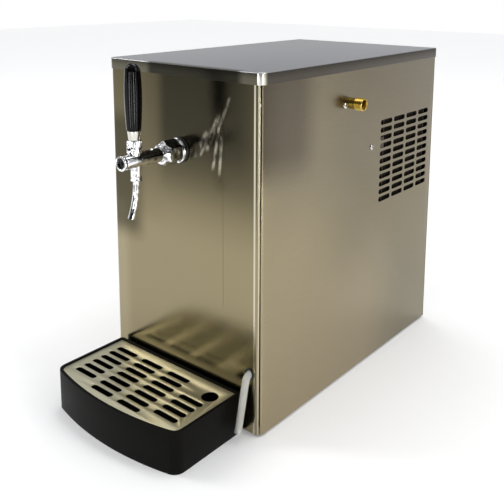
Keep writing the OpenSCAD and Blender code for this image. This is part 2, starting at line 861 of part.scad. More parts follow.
module fan_blade() {
  color("white") placed() translate([0, fan_y, fan_z]) {
    rod_x(3, condenser_x - 48, condenser_x - 12);
    rod_x(14, condenser_x - 24, condenser_x - 8);
    for (a = [0:72:288]) rotate([a, 0, 0]) translate([condenser_x - 16, 0, fan_r / 2 + 5]) rotate([0, 0, 35])
      cube([1.6, 22, fan_r - 12], center = true);
  }
}

// ---- tap ----
module flange_gasket() {
  color("black") placed() difference() {
    rod_y(flange_r + 0.6, body_front - gasket_t, body_front, 0, tap_z);
    rod_y(shank_r + 0.1, -10, 10, 0, tap_z);
  }
}

module wall_flange() {
  y1 = body_front - gasket_t;
  color("silver") placed() difference() {
    union() {
      rod_y(flange_r, y1 - 4, y1, 0, tap_z);
      rod_y(flange_r - 2.4, y1 - flange_len, y1 - 4, 0, tap_z, flange_r - 0.8);
    }
    rod_y(shank_r + 0.1, y1 - flange_len - 1, y1 + 1, 0, tap_z);
  }
}

module tap_shank() {
  color("silver") placed() difference() {
    union() {
      rod_y(shank_r, -22, shank_back - 12, 0, tap_z);
      rod_y(shank_r - 4, shank_back - 12, shank_back, 0, tap_z);
    }
    rod_y(shank_bore_r, -23, shank_back - 2, 0, tap_z);
  }
}

module shank_nut() {
  color("silver") placed() difference() {
    hex_y(30, inner_front, inner_front + 8, tap_z);
    rod_y(shank_r + 0.05, inner_front - 1, inner_front + 9, 0, tap_z);
  }
}

module coupling_nut() {
  back = body_front - gasket_t - flange_len;
  front_r = coupling_af / 2 - coupling_chamfer;
  color("silver") placed() difference() {
    intersection() {
      hex_y(coupling_af, coupling_front, back, tap_z);
      rod_y(front_r, coupling_front, back, 0, tap_z, front_r + back - coupling_front);
    }
    rod_y(shank_r + 0.05, -25.2, back + 1, 0, tap_z);
    rod_y(barrel_r + 0.1, coupling_front - 1, back, 0, tap_z);
  }
}

module tap_barrel() {
  front = -tap_reach + 4;
  color("silver") placed() difference() {
    union() {
      rod_y(barrel_r, front, -22, 0, tap_z);
      rod_y(tail_r, -25, -22, 0, tap_z);
      translate([0, lever_y, tap_z]) cylinder(h = pivot_up - 1, r = neck_r);
      translate([0, spout_y, tap_z - socket_h]) cylinder(h = socket_h, r = socket_r);
      translate([0, lever_y + 26, tap_z]) cylinder(h = barrel_r + 1.2, r = 2.2);
    }
    rod_y(chamber_r, front - 1, seat_y - 4, 0, tap_z);
    rod_y(4.5, seat_y - 5, seat_y + 1, 0, tap_z);
    rod_y(7.2, seat_y, seat_y + 13, 0, tap_z);
    rod_y(shank_bore_r, seat_y, -21, 0, tap_z);
    translate([0, lever_y, tap_z]) cylinder(h = pivot_up + 1, r = neck_bore_r);
    translate([0, spout_y, tap_z - socket_h - 1]) {
      cylinder(h = sleeve_h + 1, r = spout_r + sleeve_extra + 0.05);
      cylinder(h = socket_h + 1, r = spout_r - spout_wall);
    }
  }
}

module barrel_cap() {
  front = -tap_reach;
  color("silver") placed() difference() {
    rod_y(barrel_r + 0.3, front, front + 4, 0, tap_z);
    rod_y(barrel_r - 2.4, front - 1, front + 2.4, 0, tap_z);
    rod_y(2.2, front - 1, front + 5, 0, tap_z);
  }
}

// Ring with a domed top, centred on the lever's pivot
module tap_bonnet() {
  rise = dome_r + 1;
  slot_half = stem_r + slot_gap - 0.15;
  edge_deg = acos(ring_r / dome_r);
  lean = slot_half / cos(pull_deg);
  color("silver") placed() translate([0, lever_y, pivot_z]) difference() {
    rotate_extrude() polygon(concat(
      [[0, -1], [ring_r, -1]],
      [for (k = [0:6]) let (a = edge_deg + (90 - edge_deg) * k / 6) dome_r * [cos(a), sin(a)]]
    ));
    sphere(r = ball_r + ball_gap);
    translate([0, 0, -2]) cylinder(h = 1.8, r = neck_bore_r);
    cylinder(h = rise, r = stem_r + slot_gap);
    rotate([90, 0, 90]) translate([0, 0, -slot_half]) linear_extrude(height = 2 * slot_half)
      polygon([[0, 0], [0, rise], [-rise * tan(pull_deg) - lean, rise], [-lean, 0]]);
  }
}

module tap_lever() {
  color("silver") placed() translate([0, lever_y, pivot_z]) {
    sphere(r = ball_r);
    translate([0, 0, -pivot_up]) cylinder(h = pivot_up, r = arm_r);
    translate([0, 0, -pivot_up]) sphere(r = tip_r);
    cylinder(h = grip_z - pivot_z + 16, r = stem_r);
  }
}

module lever_collar() {
  color("silver") placed() translate([0, lever_y, pivot_z]) difference() {
    cylinder(h = ring_top - pivot_z, r = ring_r);
    sphere(r = dome_r + dome_gap, $fn = fine);
    cylinder(h = 30, r = stem_r + 0.05);
  }
}

module grip_ferrule() {
  color("silver") placed() translate([0, lever_y, ring_top]) difference() {
    cylinder(h = ferrule_h, r1 = 6.4, r2 = 7.9);
    translate([0, 0, -1]) cylinder(h = ferrule_h + 2, r = stem_r + 0.05);
  }
}

// Radius of the grip at a share t of its length, below its domed top
function grip_at(t) =
  grip_foot_r + (grip_r - grip_foot_r) * sin(min(1, t / grip_widest) * 90)
  - grip_taper * pow(max(0, t - grip_widest) / (1 - grip_widest), 2);
module handle_grip() {
  steps = 14;
  top_r = grip_at(1);
  color("black") placed() translate([0, lever_y, grip_z]) difference() {
    rotate_extrude() polygon(concat(
      [[0, 0]],
      [for (i = [0:steps]) [grip_at(i / steps), grip_body * i / steps]],
      [for (i = [1:9]) [top_r * cos(10 * i), grip_body + dome_h * sin(10 * i)]]
    ));
    translate([0, 0, -1]) cylinder(h = 18, r = stem_r + 0.05);
  }
}

module valve_plunger() {
  half = tip_r + tip_gap;
  color("silver") placed() difference() {
    union() {
      rod_y(plunger_r, lever_y - 15, lever_y + 7, 0, tap_z);
      rod_y(3, lever_y + 6, seat_y + 1, 0, tap_z);
      rod_y(4.3, seat_y - 1, seat_y + 0.3, 0, tap_z);
      rod_y(6.4, seat_y + 0.3, seat_y + 5, 0, tap_z, 5);
    }
    translate([-half, lever_y, tap_z]) rotate([90, 0, 90]) linear_extrude(height = 2 * half)
      polygon([[-half, -7], [half, -7], [half, 7], [-half - slot_flare, 7], [-half, 0]]);
  }
}

module spout_tube() {
  color("silver") placed() difference() {
    union() {
      translate([0, spout_y, tap_z - socket_h - 1]) cylinder(h = sleeve_h + 1, r = spout_r + sleeve_extra);
      spout_arc(spout_r, 0);
    }
    translate([0, spout_y, tap_z - socket_h - 0.5])
      cylinder(h = sleeve_h + 1, r = spout_r - spout_wall - 0.1);
    spout_arc(spout_r - spout_wall, 1);
  }
}

// Bend of the spout, from straight down at the socket to leaning forward at the mouth
module spout_arc(r, extra) {
  translate([0, spout_y - spout_bend_r, tap_z - socket_h])
    rotate([0, 90, 0]) rotate([0, 0, 90 - spout_deg - extra])
      rotate_extrude(angle = spout_deg + extra, $fn = fine * 4)
        translate([spout_bend_r, 0]) circle(r = r, $fn = coarse);
}

// ---- tray ----
// Outline of the tray, drawn in by d: bowed front, rounded front corners
function tray_outline(d) =
  let (cx = tray_w / 2 - tray_corner_r, far = bow_r - tray_corner_r,
       cy = bow_y - sqrt(pow(far, 2) - pow(cx, 2)), turn = atan2(bow_y - cy, cx), rr = tray_rear_r,
       front_r = tray_corner_r - d, rear_r = max(rr - d, 0.5), steps = 8, bow = 90 - turn)
  concat(
    [for (k = [0:steps]) let (a = -turn * k / steps) [cx + front_r * cos(a), cy + front_r * sin(a)]],
    [for (k = [1:11]) let (a = -turn - 2 * bow * k / 12) [0, bow_y] + (bow_r - d) * [cos(a), sin(a)]],
    [for (k = [steps:-1:0]) let (a = -turn * k / steps) [-cx - front_r * cos(a), cy + front_r * sin(a)]],
    [for (k = [0:4]) let (a = 180 - 90 * k / 4)
      [-tray_w / 2 + d + rear_r + rear_r * cos(a), tray_back - d - rear_r + rear_r * sin(a)]],
    [for (k = [0:4]) let (a = 90 - 90 * k / 4)
      [tray_w / 2 - d - rear_r + rear_r * cos(a), tray_back - d - rear_r + rear_r * sin(a)]]
  );

module drip_tray() {
  color("black") placed() translate([tray_x, 0, 0]) difference() {
    linear_extrude(height = tray_h) polygon(tray_outline(0));
    translate([0, 0, tray_floor]) linear_extrude(height = tray_h) polygon(tray_outline(tray_wall + ledge_w));
    translate([0, 0, plate_seat]) linear_extrude(height = tray_h) polygon(tray_outline(tray_wall));
  }
}

module drip_plate() {
  color("silver") placed() translate([tray_x, 0, plate_seat]) difference() {
    linear_extrude(height = plate_t) polygon(tray_outline(plate_edge));
    for (c = [0:3], r = [slot_rows[c][0]:slot_rows[c][1]])
      translate([(c - 1.5) * slot_pitch_x, tray_back + slot_first - r * slot_pitch_y, -1])
        linear_extrude(height = plate_t + 2) stadium(slot_len, slot_w);
    translate([finger_at[0], tray_back + finger_at[1], -1]) cylinder(h = plate_t + 2, r = finger_r);
  }
}

base_pan();
rubber_feet();
foot_screws();
front_panel();
side_panel_left();
side_panel_right();
rear_panel();
top_cover();
panel_screws();
side_screws();
inlet_fitting();
inlet_nut();
inlet_bracket();
hose_grommet();
drain_hose();
drain_tube();
power_inlet();
power_pins();
thermostat();
thermostat_knob();
bath_insulation();
bath_liner();
bath_lid();
evaporator_coil();
product_coil();
agitator_motor();
agitator_impeller();
supply_tube();
feed_tube();
compressor();
compressor_mounts();
start_relay();
discharge_pipe();
suction_pipe();
condenser_tubes();
condenser_fins();
condenser_brackets();
fan_shroud();
fan_motor();
fan_blade();
flange_gasket();
wall_flange();
tap_shank();
shank_nut();
coupling_nut();
tap_barrel();
barrel_cap();
tap_bonnet();
tap_lever();
lever_collar();
grip_ferrule();
handle_grip();
valve_plunger();
spout_tube();
drip_tray();
drip_plate();
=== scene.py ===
"""Looks of a countertop one-tap water cooler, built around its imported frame.

Sizes are held in millimetres in the cabinet's own axes (x = 0 on the mid plane, y = 0 on the
cover's front face, z = 0 on the counter) and turned into the frame's metres by Layout.at().
"""
import logging
import math
from dataclasses import dataclass
from enum import Enum
from typing import Callable, Iterable, Sequence

import bpy
from mathutils import Matrix, Vector


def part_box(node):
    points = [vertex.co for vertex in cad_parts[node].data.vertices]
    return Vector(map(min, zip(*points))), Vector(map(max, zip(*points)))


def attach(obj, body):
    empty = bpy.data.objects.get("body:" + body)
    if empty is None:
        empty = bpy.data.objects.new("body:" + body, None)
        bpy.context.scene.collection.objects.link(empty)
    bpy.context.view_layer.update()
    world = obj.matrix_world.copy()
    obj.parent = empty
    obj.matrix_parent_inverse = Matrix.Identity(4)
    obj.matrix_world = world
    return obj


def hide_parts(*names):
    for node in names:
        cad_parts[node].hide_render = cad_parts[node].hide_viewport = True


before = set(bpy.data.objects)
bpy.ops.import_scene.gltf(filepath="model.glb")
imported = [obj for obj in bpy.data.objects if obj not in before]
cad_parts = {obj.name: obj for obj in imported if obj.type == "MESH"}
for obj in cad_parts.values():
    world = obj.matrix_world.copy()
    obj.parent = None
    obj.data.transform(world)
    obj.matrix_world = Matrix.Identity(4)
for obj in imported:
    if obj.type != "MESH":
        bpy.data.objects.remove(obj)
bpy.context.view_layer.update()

MM = 0.001
TINY = 1e-5
SMOOTH_DEG = 32.0
BAND_SOFT = 0.02
Colour = tuple[float, float, float]
Point = tuple[float, float]
log = logging.getLogger("water_cooler")


# ---------------------------------------------------------------- layout


@dataclass(frozen=True)
class Layout:
    """Where the cabinet's reference lines lie in the frame, read from its cover."""

    mid_x: float
    front_y: float
    width: float
    depth: float
    top: float

    @classmethod
    def from_frame(cls) -> "Layout":
        """Reads the cover's box.

        Returns:
            The layout, with mid_x and front_y in metres and the rest in millimetres.
        """
        low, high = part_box("top_cover")
        return cls(
            (low[0] + high[0]) / 2,
            low[1],
            (high[0] - low[0]) / MM,
            (high[1] - low[1]) / MM,
            high[2] / MM,
        )

    def at(self, x: float, y: float, z: float) -> Vector:
        """Turns a point of the cabinet's axes into the frame's metres."""
        return Vector((self.mid_x + x * MM, self.front_y + y * MM, z * MM))

    def middle(self, node: str) -> Vector:
        """Gives the middle of a node's box, in the cabinet's axes and millimetres."""
        low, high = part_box(node)
        x, y, z = ((low[i] + high[i]) / 2 for i in range(3))
        return Vector(((x - self.mid_x) / MM, (y - self.front_y) / MM, z / MM))

    def span(self, node: str, axis: int) -> tuple[float, float]:
        """Gives a node's lowest and highest place along an axis, in the cabinet's axes."""
        low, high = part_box(node)
        shift = (self.mid_x, self.front_y, 0.0)[axis]
        return (low[axis] - shift) / MM, (high[axis] - shift) / MM


class Along(Enum):
    """Direction in which the axis of a turned piece points."""

    X = Matrix.Rotation(math.pi / 2, 4, "Y")
    Y = Matrix.Rotation(-math.pi / 2, 4, "X")
    Z = Matrix.Identity(4)


class Body(Enum):
    """Bodies of the frame that carry a dressed piece."""

    CABINET = "cabinet"
    HANDLE = "tap_handle"
    TRAY = "tray"
    PLATE = "plate"
    KNOB = "knob"


# ---------------------------------------------------------------- bench tools


def clear() -> None:
    """Leaves edit mode and deselects every object."""
    active = bpy.context.view_layer.objects.active
    if active and active.mode != "OBJECT":
        bpy.ops.object.mode_set(mode="OBJECT")
    bpy.ops.object.select_all(action="DESELECT")


def hold(obj: bpy.types.Object) -> None:
    """Makes one object the selected and active one."""
    clear()
    obj.select_set(True)
    bpy.context.view_layer.objects.active = obj


def edit(obj: bpy.types.Object, verts: Callable[[Vector], bool] | None = None) -> None:
    """Enters edit mode with chosen vertices selected.

    Args:
        obj: The object to shape.
        verts: Says for a vertex's place whether it is selected. None selects all.
    """
    hold(obj)
    bpy.ops.object.mode_set(mode="EDIT")
    bpy.ops.mesh.select_mode(type="VERT")
    bpy.ops.mesh.select_all(action="SELECT" if verts is None else "DESELECT")
    if verts is not None:
        bpy.ops.object.mode_set(mode="OBJECT")
        for vertex in obj.data.vertices:
            vertex.select = verts(vertex.co)
        bpy.ops.object.mode_set(mode="EDIT")


def chain(name: str, points: Sequence[Sequence[float]], closed: bool = False) -> bpy.types.Object:
    """Extrudes one vertex along a list of points, in edit mode.

    Args:
        name: Name of the new object.
        points: Places of the vertices, in metres.
        closed: Whether the last point is joined to the first.

    Returns:
        The object, still in edit mode.
    """
    clear()
    bpy.ops.mesh.primitive_plane_add(size=MM)
    obj = bpy.context.object
    obj.name = obj.data.name = name
    bpy.ops.object.mode_set(mode="EDIT")
    bpy.ops.mesh.select_mode(type="VERT")
    bpy.ops.mesh.merge(type="CENTER")
    bpy.ops.transform.translate(value=Vector(points[0]))
    for before, after in zip(points, points[1:]):
        step = Vector(after) - Vector(before)
        bpy.ops.mesh.extrude_vertices_move(TRANSFORM_OT_translate={"value": step})
    if closed:
        bpy.ops.object.mode_set(mode="OBJECT")
        ends = (0, len(points) - 1)
        for vertex in obj.data.vertices:
            vertex.select = vertex.index in ends
        bpy.ops.object.mode_set(mode="EDIT")
        bpy.ops.mesh.edge_face_add()
    return obj


def tidy_shell() -> None:
    """Merges doubles and turns the faces of the mesh in edit mode outwards."""
    bpy.ops.mesh.select_all(action="SELECT")
    bpy.ops.mesh.remove_doubles(threshold=TINY)
    bpy.ops.mesh.normals_make_consistent(inside=False)
    bpy.ops.object.mode_set(mode="OBJECT")


def settle(obj: bpy.types.Object, place: Vector, turn: Matrix | None = None) -> bpy.types.Object:
    """Puts a piece in its place and works the place into its mesh.

    Args:
        obj: The piece, modelled about its own axis.
        place: Where its origin goes, in the frame's metres.
        turn: How it is turned first.

    Returns:
        The same piece.
    """
    hold(obj)
    obj.matrix_world = Matrix.Translation(place) @ (turn or Matrix.Identity(4))
    bpy.ops.object.transform_apply(location=True, rotation=True, scale=True)
    return obj


def rounded(corners: Sequence[Sequence[float]], closed: bool = True, steps: int = 4) -> list[Point]:
    """Draws an outline whose corners have fillets.

    Args:
        corners: Each corner as (u, v) or (u, v, radius).
        closed: Whether the outline runs round to its start.
        steps: Segments in each fillet.

    Returns:
        The outline's points.
    """
    outline: list[Point] = []
    count = len(corners)
    for index, corner in enumerate(corners):
        radius = corner[2] if len(corner) > 2 else 0.0
        if radius <= 0 or (not closed and index in (0, count - 1)):
            outline.append((corner[0], corner[1]))
            continue
        here = Vector(corner[:2])
        back = (Vector(corners[index - 1][:2]) - here).normalized()
        ahead = (Vector(corners[(index + 1) % count][:2]) - here).normalized()
        half = back.angle(ahead) / 2
        centre = here + (back + ahead).normalized() * (radius / math.sin(half))
        start = here + back * (radius / math.tan(half)) - centre
        end = here + ahead * (radius / math.tan(half)) - centre
        sweep = start.angle(end)
        for step in range(steps + 1):
            t = step / steps
            arm = start * math.sin((1 - t) * sweep) + end * math.sin(t * sweep)
            outline.append(tuple(centre + arm / math.sin(sweep)))
    return outline


def turned(
    name: str, profile: Sequence[Point], place: Vector, along: Along = Along.Z, steps: int = 64
) -> bpy.types.Object:
    """Turns a piece on a lathe.

    Args:
        name: Name of the new object.
        profile: Points (radius, height) in millimetres, closed or from axis to axis.
        place: Where height zero of its axis lies, in the frame's metres.
        along: Which way its axis points.
        steps: Facets round it.

    Returns:
        The finished solid.
    """
    points = [(max(radius, 0.0) * MM, 0.0, height * MM) for radius, height in profile]
    on_axis = profile[0][0] <= 0 and profile[-1][0] <= 0
    obj = chain(name, points, closed=not on_axis)
    bpy.ops.mesh.select_all(action="SELECT")
    bpy.ops.mesh.spin(steps=steps, angle=math.tau, center=(0, 0, 0), axis=(0, 0, 1))
    tidy_shell()
    return settle(obj, place, along.value)


def extruded(name: str, outline: Sequence[Point], low: float, high: float) -> bpy.types.Object:
    """Raises an upright solid from an outline.

    Args:
        name: Name of the new object.
        outline: Points (x, y) in millimetres.
        low: Height of its underside, in millimetres.
        high: Height of its top, in millimetres.

    Returns:
        The solid, about its own origin.
    """
    obj = chain(name, [(x * MM, y * MM, low * MM) for x, y in outline], closed=True)
    bpy.ops.mesh.select_all(action="SELECT")
    bpy.ops.mesh.edge_face_add()
    bpy.ops.mesh.extrude_region_move(TRANSFORM_OT_translate={"value": (0, 0, (high - low) * MM)})
    tidy_shell()
    return obj


def block(name: str, low: Sequence[float], high: Sequence[float]) -> bpy.types.Object:
    """Makes an upright block between two corners, in millimetres about its own origin."""
    outline = [(low[0], low[1]), (high[0], low[1]), (high[0], high[1]), (low[0], high[1])]
    return extruded(name, outline, low[2], high[2])


def modify(obj: bpy.types.Object, kind: str, **settings: object) -> bpy.types.Object:
    """Adds a modifier, sets it and applies it.

    Args:
        obj: The piece.
        kind: The modifier's type.
        settings: Its settings.

    Returns:
        The same piece.
    """
    hold(obj)
    modifier = obj.modifiers.new(kind.lower(), kind)
    for key, value in settings.items():
        setattr(modifier, key, value)
    bpy.ops.object.modifier_apply(modifier=modifier.name)
    return obj


def edged(obj: bpy.types.Object, width: float, segments: int = 2, degrees: float = 40) -> bpy.types.Object:
    """Breaks a piece's sharp edges.

    Args:
        obj: The piece.
        width: How wide the broken edge is, in millimetres.
        segments: How many faces go round it.
        degrees: The angle past which an edge counts as sharp.

    Returns:
        The piece.
    """
    return modify(
        obj, "BEVEL", width=width * MM, segments=segments, limit_method="ANGLE",
        angle_limit=math.radians(degrees), harden_normals=False,
    )


class Join(Enum):
    """Ways to combine two solids."""

    FUSE = "UNION"
    CUT = "DIFFERENCE"
    SHARE = "INTERSECT"


def combine(obj: bpy.types.Object, tool: bpy.types.Object, way: Join) -> bpy.types.Object:
    """Combines a piece with a tool solid and removes the tool.

    Args:
        obj: The piece that is kept.
        tool: The other solid.
        way: How they combine.

    Returns:
        The piece.
    """
    modify(obj, "BOOLEAN", operation=way.value, solver="EXACT", object=tool)
    bpy.data.objects.remove(tool)
    return obj


def copied(obj: bpy.types.Object, shift: Vector) -> bpy.types.Object:
    """Copies a piece with its own mesh and moves the copy."""
    hold(obj)
    bpy.ops.object.duplicate()
    return settle(bpy.context.object, shift)


def joined(name: str, parts: Sequence[bpy.types.Object]) -> bpy.types.Object:
    """Joins objects into one piece that keeps them as separate solids.

    Args:
        name: The piece's name.
        parts: The objects, which the piece takes up.

    Returns:
        The piece.
    """
    clear()
    for part in parts:
        part.select_set(True)
    bpy.context.view_layer.objects.active = parts[0]
    if len(parts) > 1:
        bpy.ops.object.join()
    obj = bpy.context.object
    obj.name = obj.data.name = name
    return obj


def perforated(
    name: str, outline: Sequence[Point], holes: Iterable[Sequence[Point]], thick: float, edge: float
) -> bpy.types.Object:
    """Cuts a flat sheet with holes and softly broken edges.

    Args:
        name: Name of the new object.
        outline: Outer outline in millimetres.
        holes: Outline of each hole.
        thick: Thickness of the sheet in millimetres.
        edge: Radius of its broken edges in millimetres.

    Returns:
        The sheet as a mesh, flat about z = 0.
    """
    clear()
    curve = bpy.data.curves.new(name, "CURVE")
    curve.dimensions = "2D"
    curve.fill_mode = "BOTH"
    curve.extrude = (thick / 2 - edge) * MM
    curve.bevel_depth = edge * MM
    curve.bevel_resolution = 1
    curve.offset = -edge * MM
    for points in (outline, *holes):
        spline = curve.splines.new("POLY")
        spline.points.add(len(points) - 1)
        for point, (x, y) in zip(spline.points, points):
            point.co = (x * MM, y * MM, 0, 1)
        spline.use_cyclic_u = True
    obj = bpy.data.objects.new(name, curve)
    bpy.context.collection.objects.link(obj)
    hold(obj)
    bpy.ops.object.convert(target="MESH")
    obj = bpy.context.object
    edit(obj)
    tidy_shell()
    return obj


def slot_outline(x: float, y: float, length: float, width: float, steps: int = 8) -> list[Point]:
    """Draws a slot with round ends, lying along x.

    Args:
        x: Its middle.
        y: Its middle.
        length: Overall length.
        width: Its width.
        steps: Segments in each end.

    Returns:
        The slot's outline.
    """
    reach = (length - width) / 2
    radius = width / 2
    return [
        (x + side * (reach + radius * math.cos(a)), y + side * radius * math.sin(a))
        for side in (1, -1)
        for a in (math.pi * (k / steps - 0.5) for k in range(steps + 1))
    ]


# ---------------------------------------------------------------- finishes


class Wire:
    """A shader socket that takes Python's arithmetic."""

    def __init__(self, recipe: "Recipe", socket: bpy.types.NodeSocket) -> None:
        """Wraps a socket of a recipe's tree."""
        self.recipe = recipe
        self.socket = socket

    def _math(self, operation: str, first: "Wire | float", second: "Wire | float") -> "Wire":
        """Adds one Math node and gives its output."""
        node = self.recipe.node("ShaderNodeMath", {"operation": operation}, {0: first, 1: second})
        return Wire(self.recipe, node.outputs[0])

    def __add__(self, other: "Wire | float") -> "Wire":
        """Adds a value."""
        return self._math("ADD", self, other)

    __radd__ = __add__

    def __mul__(self, other: "Wire | float") -> "Wire":
        """Multiplies by a value."""
        return self._math("MULTIPLY", self, other)

    __rmul__ = __mul__

    def __sub__(self, other: "Wire | float") -> "Wire":
        """Takes a value away."""
        return self._math("SUBTRACT", self, other)

    def __rsub__(self, other: "Wire | float") -> "Wire":
        """Is taken away from a value."""
        return self._math("SUBTRACT", other, self)


class Recipe:
    """The node tree of one material."""

    def __init__(self, name: str) -> None:
        """Starts a material that has only its shader.

        Args:
            name: The material's name.
        """
        self.material = bpy.data.materials.new(name)
        self.material.use_nodes = True
        self.tree = self.material.node_tree
        self.shader = self.tree.nodes["Principled BSDF"]
        self.place = self.node("ShaderNodeTexCoord").outputs["Object"]

    def node(
        self, kind: str, settings: dict[str, object] | None = None, inputs: dict | None = None
    ) -> bpy.types.Node:
        """Adds a node.

        Args:
            kind: The node's type.
            settings: Its settings, which are set first.
            inputs: Values or wires for its sockets, by name or number.

        Returns:
            The node.
        """
        made = self.tree.nodes.new(kind)
        for key, value in (settings or {}).items():
            setattr(made, key, value)
        for key, value in (inputs or {}).items():
            self.feed(made.inputs[key], value)
        return made

    def feed(self, socket: bpy.types.NodeSocket, value: object) -> None:
        """Links a wire to a socket, or sets the socket's value.

        Args:
            socket: The socket.
            value: The wire or the value.
        """
        if isinstance(value, Wire):
            self.tree.links.new(value.socket, socket)
        else:
            socket.default_value = value

    def dress(self, **inputs: object) -> None:
        """Feeds the shader's sockets; an underscore in a name stands for a space."""
        for key, value in inputs.items():
            self.feed(self.shader.inputs[key.replace("_", " ")], value)

    def axis(self, letter: str) -> Wire:
        """Gives the X, Y or Z of the surface's place, in metres."""
        node = self.node("ShaderNodeSeparateXYZ", None, {0: Wire(self, self.place)})
        return Wire(self, node.outputs[letter])

    def noise(self, stretch: Sequence[float], detail: float = 3.0, lean: float = 0.0) -> Wire:
        """Adds a noise pattern.

        Args:
            stretch: Cycles per metre along each axis.
            detail: Octaves.
            lean: Turn of the pattern about X, in radians.

        Returns:
            A wire from 0 to 1.
        """
        mapping = self.node(
            "ShaderNodeMapping", None,
            {"Vector": Wire(self, self.place), "Scale": tuple(stretch), "Rotation": (lean, 0, 0)},
        )
        node = self.node(
            "ShaderNodeTexNoise", None,
            {"Vector": Wire(self, mapping.outputs[0]), "Scale": 1.0, "Detail": detail},
        )
        return Wire(self, node.outputs[0])

    def rise(self, value: Wire, start: float, end: float) -> Wire:
        """Goes smoothly from 0 to 1 while a value goes from start to end."""
        settings = {"interpolation_type": "SMOOTHSTEP"}
        node = self.node("ShaderNodeMapRange", settings, {0: value, 1: start, 2: end, 3: 0.0, 4: 1.0})
        return Wire(self, node.outputs[0])

    def within(self, value: Wire, low: float, high: float, soft: float) -> Wire:
        """Gives 1 between two values and falls off softly outside them."""
        return self.rise(value, low - soft, low) * self.rise(value, high + soft, high)

    def mix(self, amount: Wire | float, first: object, second: object) -> Wire:
        """Mixes two colours, given as wires or as linear colours."""
        pair = [value if isinstance(value, Wire) else (*value, 1.0) for value in (first, second)]
        node = self.node("ShaderNodeMix", {"data_type": "RGBA"}, {0: amount, 6: pair[0], 7: pair[1]})
        return Wire(self, node.outputs[2])

    def bump(self, height: Wire, strength: float, distance: float) -> None:
        """Feeds the shader's normal from a height, with a distance in metres."""
        inputs = {"Height": height, "Strength": strength, "Distance": distance}
        node = self.node("ShaderNodeBump", None, inputs)
        self.dress(Normal=Wire(self, node.outputs[0]))


def tone(red: float, green: float, blue: float) -> Colour:
    """Turns screen values into a linear colour.

    Args:
        red: The red value, from 0 to 255.
        green: The green value.
        blue: The blue value.

    Returns:
        The colour.
    """
    def linear(value: float) -> float:
        """Turns one screen value into a linear one."""
        share = value / 255
        return share / 12.92 if share <= 0.04045 else ((share + 0.055) / 1.055) ** 2.4
    return linear(red), linear(green), linear(blue)


@dataclass(frozen=True)
class Finish:
    """A finish whose colour, gloss and relief vary with fine and broad noise."""

    name: str
    dark: Colour
    light: Colour
    rough: float
    metal: float = 0.0
    stretch: tuple[float, float, float] = (900.0, 900.0, 900.0)
    spread: float = 0.08
    relief: float = 0.15
    depth: float = 0.0001
    gloss: float = 0.5

    def make(self) -> bpy.types.Material:
        """Builds the material.

        Returns:
            The material.
        """
        recipe = Recipe(self.name)
        fine = recipe.noise(self.stretch, 4.0)
        broad = recipe.noise((14.0, 14.0, 14.0), 2.0)
        recipe.dress(
            Base_Color=recipe.mix(fine * 0.55 + broad * 0.45, self.dark, self.light),
            Roughness=self.rough + (broad - 0.5) * self.spread + (fine - 0.5) * self.spread,
            Metallic=self.metal,
            Specular_IOR_Level=self.gloss,
        )
        recipe.bump(fine, self.relief, self.depth)
        return recipe.material


@dataclass(frozen=True)
class PaintedCloud:
    """A soft dark or light cloud painted on a sheet, as a box in the cabinet's millimetres; the sheets use
    such clouds as painted reflections, painted highlights and painted shade.

    Its lean is how far it runs sideways for each millimetre that it rises.
    """

    x: tuple[float, float]
    y: tuple[float, float]
    z: tuple[float, float]
    soft: float
    colour: Colour
    amount: float
    lean: float = 0.0


@dataclass(frozen=True)
class SheetSteel:
    """Brushed stainless sheet with grain lines and any soft clouds of painted reflection, painted highlight
    and painted shade that it is given.
    """

    name: str
    layout: Layout
    colour: Colour
    rough: float
    grain: tuple[float, float, float]
    clouds: tuple[PaintedCloud, ...] = ()
    contrast: float = 0.1
    wave: float = 0.0

    def make(self) -> bpy.types.Material:
        """Builds the material.

        Returns:
            The material.
        """
        recipe = Recipe(self.name)
        lines = recipe.noise(self.grain, 5.0)
        broad = recipe.noise((5.0, 5.0, 3.0), 2.0)
        deep = tuple(value * (1 - self.contrast) for value in self.colour)
        pale = tuple(min(value * (1 + self.contrast), 1.0) for value in self.colour)
        colour = recipe.mix(lines * 0.5 + broad * 0.5, deep, pale)
        x, y, z = (recipe.axis(letter) for letter in "XYZ")
        for cloud in self.clouds:
            low = self.layout.at(cloud.x[0], cloud.y[0], cloud.z[0])
            high = self.layout.at(cloud.x[1], cloud.y[1], cloud.z[1])
            soft = cloud.soft * MM
            aside = x if not cloud.lean else x - (z - (low.z + high.z) / 2) * cloud.lean
            along = y if not cloud.lean else y - (z - (low.z + high.z) / 2) * cloud.lean
            tall = soft if not cloud.lean else 3 * soft
            inside = recipe.within(z, low.z, high.z, tall)
            inside = inside * recipe.within(aside, low.x, high.x, soft)
            inside = inside * recipe.within(along, low.y, high.y, soft)
            # A leaning cloud is a painted highlight streak, broken up by noise.
            if cloud.lean:
                inside = inside * recipe.rise(recipe.noise((110.0, 110.0, 60.0), 2.0), 0.34, 0.62)
            colour = recipe.mix(inside * cloud.amount, colour, cloud.colour)
        recipe.dress(
            Base_Color=colour,
            Roughness=self.rough + (lines - 0.5) * 0.1,
            Metallic=1.0,
        )
        relief = lines if self.wave <= 0 else lines * 0.1 + recipe.noise((9.0, 9.0, 9.0), 1.0) * self.wave
        recipe.bump(relief, 0.12, 0.0004)
        return recipe.material


